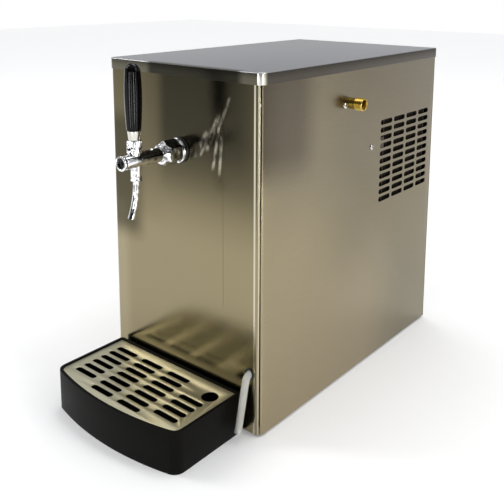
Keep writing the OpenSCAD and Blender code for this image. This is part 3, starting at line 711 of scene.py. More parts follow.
@dataclass(frozen=True)
class Chrome:
    """Bright plating with fine ripples, blotches of painted dark reflection, and painted shade in the recess
    of the tap's front.
    """

    name: str
    layout: Layout
    pale: Colour = (0.9, 0.9, 0.91)
    # Painted dark reflection for the blotches, and painted shade for the cap's recess.
    painted_reflection_dark: Colour = (0.3, 0.3, 0.3)
    deep: Colour = (0.03, 0.03, 0.03)
    recess_r: float = 6.3

    def make(self) -> bpy.types.Material:
        """Builds the material.

        Returns:
            The material.
        """
        recipe = Recipe(self.name)
        reflection_blotches = recipe.noise((150.0, 150.0, 150.0), 3.0)
        ripple = recipe.noise((260.0, 260.0, 260.0), 2.0)
        # Blotches of painted dark reflection on the bright plating.
        colour = recipe.mix(recipe.rise(reflection_blotches, 0.47, 0.62), self.pale, self.painted_reflection_dark)
        # Painted shade in the recess of the tap's front cap.
        axis = self.layout.middle("tap_shank")
        front = self.layout.span("barrel_cap", 1)[0]
        centre = self.layout.at(axis.x, front + 3, axis.z)
        across = recipe.axis("X") - centre.x
        above = recipe.axis("Z") - centre.z
        radius = self.recess_r * MM
        recess = recipe.rise(across * across + above * above, radius**2 * 1.08, radius**2 * 0.9)
        recess = recess * recipe.rise(recipe.axis("Y"), centre.y + MM, centre.y)
        recipe.dress(
            Base_Color=recipe.mix(recess, colour, self.deep),
            Roughness=0.05 + reflection_blotches * 0.05,
            Metallic=1.0,
        )
        recipe.bump(ripple, 0.45, 0.0004)
        return recipe.material


@dataclass(frozen=True)
class ClearTube:
    """Clear flexible plastic with a faint tint."""

    name: str
    tint: Colour

    def make(self) -> bpy.types.Material:
        """Builds the material.

        Returns:
            The material.
        """
        recipe = Recipe(self.name)
        haze = recipe.noise((180.0, 180.0, 60.0), 3.0)
        recipe.dress(
            Base_Color=recipe.mix(haze, self.tint, (1.0, 1.0, 1.0)),
            Roughness=0.04 + haze * 0.1,
            Transmission_Weight=0.7,
            IOR=1.45,
        )
        recipe.bump(haze, 0.1, 0.0002)
        return recipe.material


class Finishes:
    """Every finish of the cooler, made once each."""

    def __init__(self, layout: Layout) -> None:
        """Makes the materials.

        Args:
            layout: Where the cabinet's reference lines lie.
        """
        steel = tone(153, 142, 114)
        # Colour of the painted shade on the front panel and the cover's skirt.
        shade = tone(38, 37, 30)
        width, depth, top = layout.width, layout.depth, layout.top
        level = (26.0, 26.0, 2600.0)
        everywhere = (-900.0, 900.0)
        # Colour of the painted highlights.
        gleam = tone(214, 208, 186)
        # Painted reflections of the studio on the front panel: an olive tone over it, a dark upper right,
        # lighter areas and a light band at the left, and a dark area high at the left.
        front_painted_clouds = (
            PaintedCloud((-width, width), everywhere, (-50, 900), 10, tone(142, 131, 102), 0.6),
            PaintedCloud((-width / 2, width), everywhere, (top - 120, 900), 110, tone(84, 78, 58), 0.75),
            PaintedCloud((-18, 84), everywhere, (top - 78, 900), 100, shade, 0.84),
            PaintedCloud((-74, -46), everywhere, (top - 190, 900), 24, tone(125, 115, 88), 0.3),
            PaintedCloud((-130, -112), everywhere, (-50, top - 200), 20, tone(176, 166, 138), 0.4),
            # Painted highlight streaks: the reflection of the tap's flange, fanning up to the right.
            PaintedCloud((34, 36), (-9, 9), (top - 104, top - 84), 4, gleam, 0.4, 0.6),
            PaintedCloud((43, 44), (-9, 9), (top - 102, top - 78), 3, gleam, 0.4, 0.5),
            PaintedCloud((54, 56), (-9, 9), (top - 92, top - 62), 4, gleam, 0.62, 0.42),
            PaintedCloud((60, 61), (-9, 9), (top - 116, top - 72), 3, gleam, 0.5, 0.2),
            PaintedCloud((67, 68), (-9, 9), (top - 122, top - 84), 3, gleam, 0.55, 0.08),
            PaintedCloud((70, 71), (-9, 9), (top - 80, top - 36), 3, gleam, 0.34, 0.45),
            PaintedCloud((-130, -92), everywhere, (top - 215, top - 90), 34, tone(58, 55, 40), 0.75),
            # Painted highlights on the two beads of the corner fold.
            PaintedCloud((118.6, 120.4), everywhere, (-50, 900), 0.8, gleam, 0.8),
            PaintedCloud((124.6, 126.4), everywhere, (-50, 900), 0.8, gleam, 0.7),
            # A thin dark vertical line.
            PaintedCloud((70.8, 71.2), everywhere, (153, 317), 0.45, tone(86, 70, 46), 0.55),
        )
        # Painted reflections on the side panels: darker towards the rear, lighter low at the front, a dark
        # area at the top front and a greyer upper rear.
        side_painted_clouds = (
            PaintedCloud(everywhere, (230, depth + 60), (-50, 900), 170, tone(112, 104, 84), 0.7),
            PaintedCloud(everywhere, (-20, 210), (-50, 90), 150, tone(160, 147, 120), 0.8),
            PaintedCloud(everywhere, (12, 66), (top - 92, 900), 60, tone(44, 36, 26), 0.9),
            PaintedCloud(everywhere, (60, depth), (top - 110, 900), 120, tone(116, 108, 94), 0.6),
        )
        made = {
            "front_steel": SheetSteel("front_steel", layout, steel, 0.15, level, front_painted_clouds),
            "side_steel": SheetSteel("side_steel", layout, steel, 0.26, level, side_painted_clouds),
            "rear_steel": SheetSteel("rear_steel", layout, steel, 0.34, level),
            "cover_steel": SheetSteel(
                "cover_steel", layout, tone(178, 179, 182), 0.3, (900.0, 16.0, 900.0),
                (
                    # Painted reflections on the cover's skirt: olive-brown along the front, a dark middle, a
                    # dark right-hand skirt, and two painted highlights at the rounded corner.
                    PaintedCloud((-width, width), (-5, 0.3), (0, top - 1), 0.4, tone(84, 79, 60), 0.92),
                    PaintedCloud((-46, 92), (-5, 0.3), (0, top - 1), 14, shade, 0.9),
                    PaintedCloud((width / 2 - 0.3, width), everywhere, (0, top - 1), 0.4, tone(64, 57, 46), 0.94),
                    PaintedCloud((width / 2 - 6, width / 2 - 4.2), (-5, 10), (0, top - 1), 1.2, gleam, 0.7),
                    PaintedCloud((width / 2 - 1.6, width / 2 - 0.6), (-5, 10), (0, top - 1), 0.8, gleam, 0.7),
                ),
                0.07, 0.9,
            ),
            "plate_steel": SheetSteel(
                "plate_steel", layout, tone(206, 202, 176), 0.42, (26.0, 2400.0, 2400.0), (), 0.07
            ),
            "plain_steel": Finish(
                "plain_steel", tone(150, 150, 150), tone(186, 186, 184), 0.32, 1.0, (60.0, 60.0, 900.0)
            ),
            "tap_chrome": Chrome("tap_chrome", layout),
            "satin_chrome": Finish(
                "satin_chrome", tone(196, 194, 184), tone(224, 222, 214), 0.24, 1.0,
                (30.0, 30.0, 900.0), 0.1, 0.2, 0.0001,
            ),
            "screw_steel": Finish(
                "screw_steel", tone(176, 174, 168), tone(226, 224, 220), 0.16, 1.0, (500.0, 500.0, 500.0)
            ),
            "inlet_brass": Finish(
                "inlet_brass", tone(150, 124, 52), tone(226, 200, 106), 0.2, 1.0,
                (220.0, 420.0, 420.0), 0.16, 0.2, 0.0001,
            ),
            "black_rubber": Finish(
                "black_rubber", tone(9, 9, 9), tone(24, 24, 24), 0.55, 0.0, (1500.0,) * 3, 0.1, 0.3
            ),
            "grip_black": Finish(
                "grip_black", tone(2, 2, 3), tone(6, 6, 7), 0.1, 0.0, (500.0,) * 3, 0.06, 0.05,
                0.0001, 0.15,
            ),
            "tray_black": Finish(
                "tray_black", tone(9, 9, 8), tone(17, 16, 14), 0.36, 0.0, (1300.0,) * 3, 0.1, 0.2,
                0.0001, 0.05,
            ),
            "black_plastic": Finish(
                "black_plastic", tone(16, 16, 17), tone(32, 32, 33), 0.42, 0.0, (1600.0,) * 3, 0.1, 0.35
            ),
            "white_plastic": Finish(
                "white_plastic", tone(214, 214, 208), tone(236, 236, 232), 0.4, 0.0, (700.0,) * 3
            ),
            "foam": Finish(
                "foam", tone(208, 190, 132), tone(240, 226, 178), 0.9, 0.0, (420.0,) * 3, 0.1, 0.8, 0.0006
            ),
            "copper_pipe": Finish(
                "copper_pipe", tone(150, 82, 50), tone(222, 142, 98), 0.26, 1.0, (120.0, 120.0, 300.0)
            ),
            # Fins painted dark: painted shade of the cabinet's inside, seen through the vents.
            "fin_alloy": Finish(
                "fin_alloy", tone(58, 54, 48), tone(92, 84, 72), 0.42, 1.0, (900.0, 60.0, 60.0)
            ),
            "black_enamel": Finish(
                "black_enamel", tone(12, 12, 13), tone(26, 26, 28), 0.3, 0.0, (260.0,) * 3, 0.1, 0.2, 0.0002
            ),
            "zinc_steel": Finish(
                "zinc_steel", tone(150, 152, 154), tone(198, 200, 202), 0.4, 1.0, (90.0,) * 3, 0.2
            ),
            "clear_hose": ClearTube("clear_hose", tone(240, 240, 226)),
        }
        self.made = {name: finish.make() for name, finish in made.items()}

    def __getitem__(self, name: str) -> bpy.types.Material:
        """Gives a finish's material."""
        return self.made[name]


@dataclass
class Shop:
    """What every sub-assembly needs: the layout and the finishes."""

    layout: Layout
    finishes: Finishes

    def fit(
        self, obj: bpy.types.Object, body: Body, finish: str, nodes: Sequence[str], slot: str | None = None
    ) -> bpy.types.Object:
        """Dresses a piece and hands it to the frame.

        Args:
            obj: The piece.
            body: The body that it rides on.
            finish: Its finish.
            nodes: The frame's nodes that it stands for.
            slot: Not used.

        Returns:
            The piece.
        """
        hold(obj)
        bpy.ops.object.shade_smooth_by_angle(angle=math.radians(SMOOTH_DEG))
        obj.data.materials.clear()
        obj.data.materials.append(self.finishes[finish])
        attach(obj, body.value)
        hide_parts(*nodes)
        log.info("%s: %d faces on %s", obj.name, len(obj.data.polygons), body.value)
        return obj


# ---------------------------------------------------------------- cabinet


@dataclass
class Cabinet:
    """The stainless cabinet: cover, front and side panels, and feet."""

    shop: Shop
    sheet: float = 1.0
    skirt: float = 14.0
    corner_r: float = 10.0
    cover_gap: float = 0.4
    rear_r: float = 2.0
    cover_edge: float = 1.1
    seam: float = 0.7
    seam_fold_r: float = 0.9
    seam_depth: float = 2.6
    rear_flange: float = 15.0
    vent_columns: int = 4
    vent_rows: int = 11
    vent_size: tuple[float, float] = (32.0, 7.0)
    vent_pitch: tuple[float, float] = (36.8, 11.1)
    vent_from_back: float = 89.0
    vent_from_top: float = 149.3

    def __post_init__(self) -> None:
        """Works out the panels' planes from the cover."""
        layout = self.shop.layout
        self.inset = self.sheet + self.cover_gap
        self.half = layout.width / 2 - self.inset
        self.radius = self.corner_r - self.inset
        self.low, self.high = layout.span("front_panel", 2)
        self.back = layout.span("side_panel_right", 1)[1]

    def build(self) -> None:
        """Builds every piece of the cabinet."""
        self.cover()
        self.front()
        self.sides()
        self.feet()

    def cover(self) -> None:
        """Makes the top cover, a shallow tray turned upside down."""
        layout = self.shop.layout
        half, depth = layout.width / 2, layout.depth
        plan = rounded(
            [(-half, 0, self.corner_r), (half, 0, self.corner_r), (half, depth, self.rear_r),
             (-half, depth, self.rear_r)], steps=10,
        )
        cover = extruded("top_cover_shell", plan, layout.top - self.skirt, layout.top)
        edit(cover, lambda co: co.z > (layout.top - 1) * MM)
        bpy.ops.mesh.select_mode(type="EDGE")
        bpy.ops.mesh.bevel(offset=self.cover_edge * MM, segments=4, affect="EDGES")
        bpy.ops.object.mode_set(mode="OBJECT")
        edit(cover, lambda co: False)
        bpy.ops.object.mode_set(mode="OBJECT")
        for face in cover.data.polygons:
            face.select = face.normal.z < -0.9
        bpy.ops.object.mode_set(mode="EDIT")
        bpy.ops.mesh.select_mode(type="FACE")
        bpy.ops.mesh.delete(type="FACE")
        bpy.ops.object.mode_set(mode="OBJECT")
        modify(cover, "SOLIDIFY", thickness=self.sheet * MM, offset=-1, use_even_offset=True)
        edged(cover, 0.25, 2, 60)
        modify(cover, "WEIGHTED_NORMAL", keep_sharp=True)
        settle(cover, layout.at(0, 0, 0))
        self.shop.fit(cover, Body.CABINET, "cover_steel", ["top_cover"], "satin_cover")

    def half_corner(self, mirrored: bool) -> list[Point]:
        """Draws half of the right front corner, from the panel's flat to its inward fold.

        Args:
            mirrored: Whether this is the side panel's half.

        Returns:
            Points about the corner's own axis, from the flat to the end of the fold.
        """
        radius, fold = self.radius, self.seam_fold_r
        shift = (self.seam / 2 + fold) / (radius - fold)
        last = math.pi / 4 - math.asin(shift)
        angles = [last * k / 6 for k in range(7)]
        points = [(radius * math.sin(a), -radius * math.cos(a)) for a in angles]
        diagonal = Vector((math.sin(math.pi / 4), -math.cos(math.pi / 4)))
        aside = Vector((diagonal.y, -diagonal.x))
        centre = Vector((math.sin(last), -math.cos(last))) * (radius - fold)
        start = Vector(points[-1]) - centre
        end = -aside * fold
        sweep = start.angle(end)
        for k in range(1, 6):
            t = k / 5
            arm = start * math.sin((1 - t) * sweep) + end * math.sin(t * sweep)
            points.append(tuple(centre + arm / math.sin(sweep)))
        points.append(tuple(Vector(points[-1]) - diagonal * self.seam_depth))
        return [(-y, -x) for x, y in points] if mirrored else points

    def upright(self, name: str, path: Sequence[Point]) -> bpy.types.Object:
        """Raises a folded sheet from its plan.

        Args:
            name: Name of the piece.
            path: Plan of its outer face, running towards +X or +Y.

        Returns:
            The sheet with its thickness inwards.
        """
        obj = chain(name, [(x * MM, y * MM, self.low * MM) for x, y in path])
        bpy.ops.mesh.select_all(action="SELECT")
        rise = (0, 0, (self.high - self.low) * MM)
        bpy.ops.mesh.extrude_region_move(TRANSFORM_OT_translate={"value": rise})
        bpy.ops.mesh.select_all(action="SELECT")
        bpy.ops.mesh.remove_doubles(threshold=TINY)
        bpy.ops.object.mode_set(mode="OBJECT")
        widest = max(obj.data.polygons, key=lambda face: face.area)
        outwards = Vector((0, -1, 0)) if abs(widest.normal.y) > 0.5 else Vector((1, 0, 0))
        if widest.normal.dot(outwards) < 0:
            edit(obj)
            bpy.ops.mesh.flip_normals()
            bpy.ops.object.mode_set(mode="OBJECT")
        return modify(obj, "SOLIDIFY", thickness=self.sheet * MM, offset=-1)

    def front(self) -> None:
        """Makes the front panel with its two folded half corners."""
        corner = Vector((self.half - self.radius, self.inset + self.radius))
        right = [tuple(corner + Vector(point)) for point in self.half_corner(False)]
        left = [(-x, y) for x, y in reversed(right)]
        panel = self.upright("front_panel_sheet", [*left, *right])
        for node, radius in (("tap_shank", 10.2), ("hose_grommet", 6.0)):
            middle = self.shop.layout.middle(node)
            hole = turned(
                "hole_tool", [(0, 0), (radius, 0), (radius, 8), (0, 8)],
                Vector((middle.x, -2, middle.z)) * MM, Along.Y, 48,
            )
            combine(panel, hole, Join.CUT)
        modify(panel, "WEIGHTED_NORMAL", keep_sharp=True)
        settle(panel, self.shop.layout.at(0, 0, 0))
        self.shop.fit(panel, Body.CABINET, "front_steel", ["front_panel"], "brushed_panel")

    def vent_cutter(self) -> bpy.types.Object:
        """Makes one solid for each vent slot, standing through the right panel.

        Returns:
            The solids as one object.
        """
        layout = self.shop.layout
        length, width = self.vent_size
        slot = extruded("vent_tool", slot_outline(0, 0, length, width), -3, 3)
        across = Matrix.Rotation(math.pi / 2, 4, "Z") @ Matrix.Rotation(math.pi / 2, 4, "X")
        settle(slot, Vector((0, 0, 0)), across)
        slots = []
        for column in range(self.vent_columns):
            for row in range(self.vent_rows):
                y = layout.depth - self.vent_from_back
                y += (column - (self.vent_columns - 1) / 2) * self.vent_pitch[0]
                z = layout.top - self.vent_from_top
                z += (row - (self.vent_rows - 1) / 2) * self.vent_pitch[1]
                slots.append(copied(slot, Vector((self.half, y, z)) * MM))
        bpy.data.objects.remove(slot)
        return joined("vent_tool", slots)

    def sides(self) -> None:
        """Makes both side panels, with vents and a rear flange."""
        layout = self.shop.layout
        corner = Vector((self.half - self.radius, self.inset + self.radius))
        fold = [tuple(corner + Vector(point)) for point in self.half_corner(True)]
        ahead = [(self.half, self.back, 1.2), (self.half - self.rear_flange, self.back)]
        path = [*reversed(fold), *rounded([fold[0], *ahead], closed=False)[1:]]
        for side, node in ((1, "side_panel_right"), (-1, "side_panel_left")):
            panel = self.upright(f"{node}_sheet", path)
            combine(panel, self.vent_cutter(), Join.CUT)
            if side < 0:
                edit(panel)
                bpy.ops.transform.resize(value=(-1, 1, 1), center_override=(0, 0, 0))
                bpy.ops.mesh.flip_normals()
                bpy.ops.object.mode_set(mode="OBJECT")
            modify(panel, "WEIGHTED_NORMAL", keep_sharp=True)
            settle(panel, layout.at(0, 0, 0))
            self.shop.fit(panel, Body.CABINET, "side_steel", [node], "brushed_panel")

    def feet(self) -> None:
        """Makes the four rubber feet, each with a hollow for its screw."""
        layout = self.shop.layout
        radius = 13.0
        height = layout.span("rubber_feet", 2)[1]
        profile = rounded(
            [(2.1, height), (2.1, height / 2), (4.3, height / 2), (4.3, 0, 0.4), (radius - 1, 0, 0.8),
             (radius, height, 0.3)], steps=3,
        )
        foot = turned("rubber_feet_turned", profile, Vector((0, 0, 0)), steps=40)
        x0, x1 = layout.span("rubber_feet", 0)
        y0, y1 = layout.span("rubber_feet", 1)
        places = [(x, y) for x in (x0 + radius, x1 - radius) for y in (y0 + radius, y1 - radius)]
        feet = [copied(foot, layout.at(x, y, 0)) for x, y in places]
        bpy.data.objects.remove(foot)
        self.shop.fit(joined("rubber_feet_turned", feet), Body.CABINET, "black_rubber", ["rubber_feet"])


@dataclass
class Screws:
    """Domed cross-head screws in the panels and feet."""

    shop: Shop
    head_r: float = 3.9
    head_h: float = 2.2
    shank_r: float = 1.95

    def screw(self, length: float) -> bpy.types.Object:
        """Turns one screw with its head upwards and its underside at height zero.

        Args:
            length: How far its thread reaches down, in millimetres.

        Returns:
            The screw.
        """
        dome = [
            (self.head_r * math.cos(a), 0.5 + (self.head_h - 0.5) * math.sin(a))
            for a in (math.pi / 2 * k / 7 for k in range(7))
        ]
        profile = [(0, -length), (self.shank_r - 0.5, -length), (self.shank_r, -length + 0.6),
                   (self.shank_r, 0), (self.head_r, 0), *dome, (0, self.head_h)]
        screw = turned("screw", profile, Vector((0, 0, 0)), steps=28)
        for turn in (0, 1):
            size = (2.1, 0.45) if turn else (0.45, 2.1)
            bar = block("cross_tool", (-size[0], -size[1], self.head_h - 1.3), (*size, self.head_h + 1))
            combine(screw, bar, Join.CUT)
        return screw

    def group(self, node: str, length: float, turn: Matrix, places: Sequence[Vector]) -> None:
        """Makes the screws of one node.

        Args:
            node: The node that they stand for.
            length: Length under the head.
            turn: How each is turned.
            places: Where each head's underside lies.
        """
        pattern = settle(self.screw(length), Vector((0, 0, 0)), turn)
        screws = [copied(pattern, place) for place in places]
        bpy.data.objects.remove(pattern)
        self.shop.fit(joined(f"{node}_turned", screws), Body.CABINET, "screw_steel", [node])

    def build(self) -> None:
        """Makes the screws of the sides, the rear and the feet."""
        layout = self.shop.layout
        width, depth, top = layout.width, layout.depth, layout.top
        side_x = layout.span("side_panel_right", 0)[1]
        side_at = [(depth - 253, top - 58), (depth - 183.5, top - 124.6)]
        self.group("side_screws", 6, Along.X.value, [layout.at(side_x, y, z) for y, z in side_at])
        rear_y = layout.span("rear_panel", 1)[1]
        flange_x = width / 2 - 9.9
        rear = [layout.at(s * flange_x, rear_y, z) for s in (-1, 1) for z in (40, top / 2, top - 50)]
        rear += [layout.at(s * width / 4, depth, top - 7) for s in (-1, 1)]
        self.group("panel_screws", 6, Along.Y.value, rear)
        low = layout.span("foot_screws", 0)
        ahead = layout.span("foot_screws", 1)
        feet = [
            layout.at(x, y, 3)
            for x in (low[0] + self.head_r, low[1] - self.head_r)
            for y in (ahead[0] + self.head_r, ahead[1] - self.head_r)
        ]
        self.group("foot_screws", 4.5, Matrix.Rotation(math.pi, 4, "X"), feet)


# ---------------------------------------------------------------- tap


@dataclass
class Tap:
    """The chrome tap with its black grip and curved spout."""

    shop: Shop
    barrel_r: float = 8.75
    cap_r: float = 9.05
    nut_flats: float = 27.5
    ring_r: float = 8.7
    socket_r: float = 6.3
    socket_rim_r: float = 6.9
    spout_r: float = 4.0
    spout_wall: float = 1.0
    spout_deg: float = 24.0
    flutes: int = 12

    def __post_init__(self) -> None:
        """Reads the tap's axes from the frame."""
        layout = self.shop.layout
        self.axis_z = layout.middle("tap_shank").z
        self.lever_y = layout.middle("lever_collar").y
        self.spout_y = self.lever_y + 2
        self.socket_z = self.axis_z - 24

    def along_y(self, name: str, start: float, profile: Sequence[Point], steps: int = 64) -> bpy.types.Object:
        """Turns a piece on the tap's own axis, from a start on Y."""
        return turned(name, profile, self.shop.layout.at(0, start, self.axis_z), Along.Y, steps)

    def upright(
        self, name: str, y: float, z: float, profile: Sequence[Point], steps: int = 64
    ) -> bpy.types.Object:
        """Turns a piece on an upright axis."""
        return turned(name, profile, self.shop.layout.at(0, y, z), Along.Z, steps)

    def build(self) -> None:
        """Builds every piece of the tap."""
        self.wall_side()
        self.nut()
        self.barrel()
        self.bonnet()
        self.collar()
        self.handle()
        self.spout()

    def wall_side(self) -> None:
        """Makes the gasket and the stepped flange on the front panel."""
        start, end = self.shop.layout.span("flange_gasket", 1)
        thick = end - start
        gasket = rounded([(10.1, 0), (16.2, 0, 0.8), (16.2, thick, 0.5), (10.1, thick)])
        ring = self.along_y("flange_gasket_turned", start, gasket)
        self.shop.fit(ring, Body.CABINET, "black_rubber", ["flange_gasket"])
        start, end = self.shop.layout.span("wall_flange", 1)
        long = end - start
        flange = rounded(
            [(10.1, 0), (13.6, 0, 0.4), (14.2, 1.0, 0.2), (15.6, 1.2, 0.6), (15.6, long, 0.6), (10.1, long)]
        )
        self.shop.fit(
            self.along_y("wall_flange_turned", start, flange), Body.CABINET, "tap_chrome", ["wall_flange"]
        )

    def nut(self) -> None:
        """Makes the coupling nut, a hexagon chamfered in a lathe."""
        start, end = self.shop.layout.span("coupling_nut", 1)
        long = end - start
        corner = self.nut_flats / math.sqrt(3)
        angles = [math.tau * k / 6 for k in range(6)]
        hexagon = [(corner * math.sin(a), corner * math.cos(a)) for a in angles]
        nut = extruded("coupling_nut_turned", hexagon, 0, long)
        taper = [(8.9, -0.1), (11.2, -0.1), (12.4, 0.5), (13.2, 2.6), (corner + 0.4, 6.4),
                 (corner + 0.4, long - 2.2), (13.3, long + 0.1), (8.9, long + 0.1)]
        shape = turned("nut_tool", taper, Vector((0, 0, 0)), steps=96)
        combine(nut, shape, Join.SHARE)
        edged(nut, 0.3, 2, 25)
        settle(nut, self.shop.layout.at(0, start, self.axis_z), Along.Y.value)
        self.shop.fit(nut, Body.CABINET, "tap_chrome", ["coupling_nut"])

    def barrel(self) -> None:
        """Makes the barrel with its neck, spout socket and stop, and the ringed front cap."""
        start, end = self.shop.layout.span("barrel_cap", 1)
        thick = end - start
        cap = rounded(
            [(2.2, 2.4), (6.3, 2.4), (6.5, 0, 0.35), (self.cap_r, 0, 0.9), (self.cap_r, thick, 0.3),
             (2.2, thick)]
        )
        ring = self.along_y("barrel_cap_turned", start, cap)
        self.shop.fit(ring, Body.CABINET, "tap_chrome", ["barrel_cap"])
        long = -22 - end
        tube = rounded(
            [(6, 0), (self.barrel_r, 0, 0.3), (self.barrel_r, long), (4, long), (4, long - 20),
             (6, long - 24)]
        )
        barrel = self.along_y("tap_barrel_turned", end, tube, 72)
        neck = [(0, 0), (7.3, 0), (6.6, 2.2 + self.barrel_r - 2), (6.6, 9), (0, 9)]
        combine(barrel, self.upright("neck", self.lever_y, self.axis_z, neck, 48), Join.FUSE)
        socket = rounded(
            [(0, 0), (self.socket_rim_r, 0, 0.4), (self.socket_rim_r, 1.9, 0.4), (self.socket_r, 2.4),
             (self.socket_r, 14), (self.socket_r + 0.5, 20), (self.socket_r + 0.5, 22), (0, 22)],
            closed=False, steps=2,
        )
        combine(barrel, self.upright("socket", self.spout_y, self.socket_z, socket, 48), Join.FUSE)
        stop_top = self.barrel_r + 1.2
        stop = [(0, 0), (2.2, 0), (2.2, stop_top - 0.7), (1.6, stop_top - 0.1), (0, stop_top)]
        combine(barrel, self.upright("stop", self.lever_y + 26, self.axis_z, stop, 24), Join.FUSE)
        bore = [(0, -1), (self.spout_r + 0.1, -1), (self.spout_r + 0.1, 9), (0, 9)]
        combine(barrel, self.upright("bore_tool", self.spout_y, self.socket_z, bore, 32), Join.CUT)
        self.shop.fit(barrel, Body.CABINET, "tap_chrome", ["tap_barrel"])

    def bonnet(self) -> None:
        """Makes the lower ring and the dome that the lever leans over."""
        start = self.shop.layout.span("tap_bonnet", 2)[0]
        pivot = 1.0
        dome = [
            (9.8 * math.cos(a), pivot + 9.8 * math.sin(a))
            for a in (math.radians(28 + 52 * k / 6) for k in range(7))
        ]
        profile = [(2.9, 0), (7.9, 0), (self.ring_r, 0.6), (self.ring_r, 2.9), (8.2, 3.3), (8.2, 3.8),
                   (self.ring_r - 0.05, 4.3), *dome, (2.9, pivot + 9.3)]
        ring = self.upright("tap_bonnet_turned", self.lever_y, start, profile, 72)
        slot = block("slot_tool", (-2.9, -14, pivot + 3), (2.9, 0, 14))
        combine(ring, settle(slot, self.shop.layout.at(0, self.lever_y, start)), Join.CUT)
        self.shop.fit(ring, Body.CABINET, "tap_chrome", ["tap_bonnet"])

    def collar(self) -> None:
        """Makes the lever's scalloped collar with its hollow underside."""
        low, high = self.shop.layout.span("lever_collar", 2)
        tall = high - low
        pivot = self.shop.layout.span("tap_bonnet", 2)[0] + 1 - low
        hollow = [
            (10.2 * math.cos(a), pivot + 10.2 * math.sin(a))
            for a in (math.radians(75 - 42 * k / 6) for k in range(7))
        ]
        rim = hollow[-1][1]
        profile = [(2.6, tall), (2.6, hollow[0][1]), *hollow, (self.ring_r, rim), (self.ring_r, rim + 1.2),
                   (8.1, rim + 1.9), (8.1, rim + 2.5), (self.ring_r, rim + 3.1), (self.ring_r, tall - 0.9),
                   (7.6, tall)]
        count = 72
        collar = self.upright("lever_collar_turned", self.lever_y, low, profile, count)
        centre = self.shop.layout.at(0, self.lever_y, low)

        def valley(co: Vector) -> bool:
            """Picks the columns between scallops."""
            out = co - centre
            column = round(math.atan2(out.y, out.x) / math.tau * count) % 4
            return column == 0 and math.hypot(out.x, out.y) > 7.9 * MM and out.z > (rim + 1) * MM
        edit(collar, valley)
        bpy.ops.transform.resize(value=(0.93, 0.93, 1), center_override=centre)
        bpy.ops.object.mode_set(mode="OBJECT")
        self.shop.fit(collar, Body.HANDLE, "tap_chrome", ["lever_collar"])

    def handle(self) -> None:
        """Makes the ferrule and the fluted black grip."""
        layout = self.shop.layout
        low, high = layout.span("grip_ferrule", 2)
        tall = high - low
        cone = rounded([(2.6, 0), (6.4, 0, 0.4), (7.6, tall - 0.6, 0.3), (7.6, tall), (2.6, tall)])
        self.shop.fit(
            self.upright("grip_ferrule_turned", self.lever_y, low, cone), Body.HANDLE, "satin_chrome",
            ["grip_ferrule"], "tap_chrome",
        )
        low, high = layout.span("handle_grip", 2)
        tall = high - low
        widest = (layout.span("handle_grip", 0)[1] - layout.span("handle_grip", 0)[0]) / 2
        base, reach = widest - 1.8, tall - widest

        def radius(t: float) -> float:
            """Radius at a share of the length under the dome."""
            swell = math.sin(min(1.0, t / 0.62) * math.pi / 2)
            return base + (widest - base) * swell - 1.1 * (max(0.0, t - 0.62) / 0.38) ** 2
        body = [(radius(k / 20), reach * k / 20) for k in range(1, 21)]
        top_r = radius(1.0)
        dome = [
            (top_r * math.cos(a), reach + (tall - reach) * math.sin(a))
            for a in (math.pi / 2 * k / 10 for k in range(1, 10))
        ]
        profile = [(0, 0.5), (base - 1.4, 0), (base - 0.5, 0.1), (base, 0.9), *body, *dome, (0, tall)]
        per_flute = 6
        count = self.flutes * per_flute
        grip = self.upright("handle_grip_turned", self.lever_y, low, profile, count)
        centre = layout.at(0, self.lever_y, low)
        for columns, shrink in (((0,), 0.972), ((1, per_flute - 1), 0.985)):
            def groove(co: Vector, columns: tuple[int, ...] = columns) -> bool:
                """Picks the columns of the flutes, below the dome's top."""
                out = co - centre
                column = round(math.atan2(out.y, out.x) / math.tau * count) % per_flute
                return column in columns and out.z < (reach + 2) * MM and math.hypot(out.x, out.y) > MM
            edit(grip, groove)
            bpy.ops.transform.resize(value=(shrink, shrink, 1), center_override=centre)
            bpy.ops.object.mode_set(mode="OBJECT")
        self.shop.fit(grip, Body.HANDLE, "grip_black", ["handle_grip"])

    def spout(self) -> None:
        """Makes the spout, a thin tube bent forward."""
        layout = self.shop.layout
        mouth_z = layout.span("spout_tube", 2)[0]
        bend_r = (self.socket_z - mouth_z) / math.sin(math.radians(self.spout_deg))
        clear()
        bpy.ops.mesh.primitive_circle_add(
            vertices=40, radius=self.spout_r * MM, location=layout.at(0, self.spout_y, self.socket_z + 8)
        )
        spout = bpy.context.object
        bpy.ops.object.transform_apply(location=True, rotation=True, scale=True)
        bpy.ops.object.mode_set(mode="EDIT")
        bpy.ops.mesh.select_all(action="SELECT")
        bpy.ops.mesh.extrude_region_move(TRANSFORM_OT_translate={"value": (0, 0, -8 * MM)})
        centre = layout.at(0, self.spout_y - bend_r, self.socket_z)
        bpy.ops.mesh.spin(steps=20, angle=math.radians(self.spout_deg), center=centre, axis=(1, 0, 0))
        tidy_shell()
        spout.name = spout.data.name = "spout_tube_bent"
        modify(spout, "SOLIDIFY", thickness=self.spout_wall * MM, offset=-1, use_rim=True)
        self.shop.fit(spout, Body.CABINET, "tap_chrome", ["spout_tube"])


# ---------------------------------------------------------------- water connections


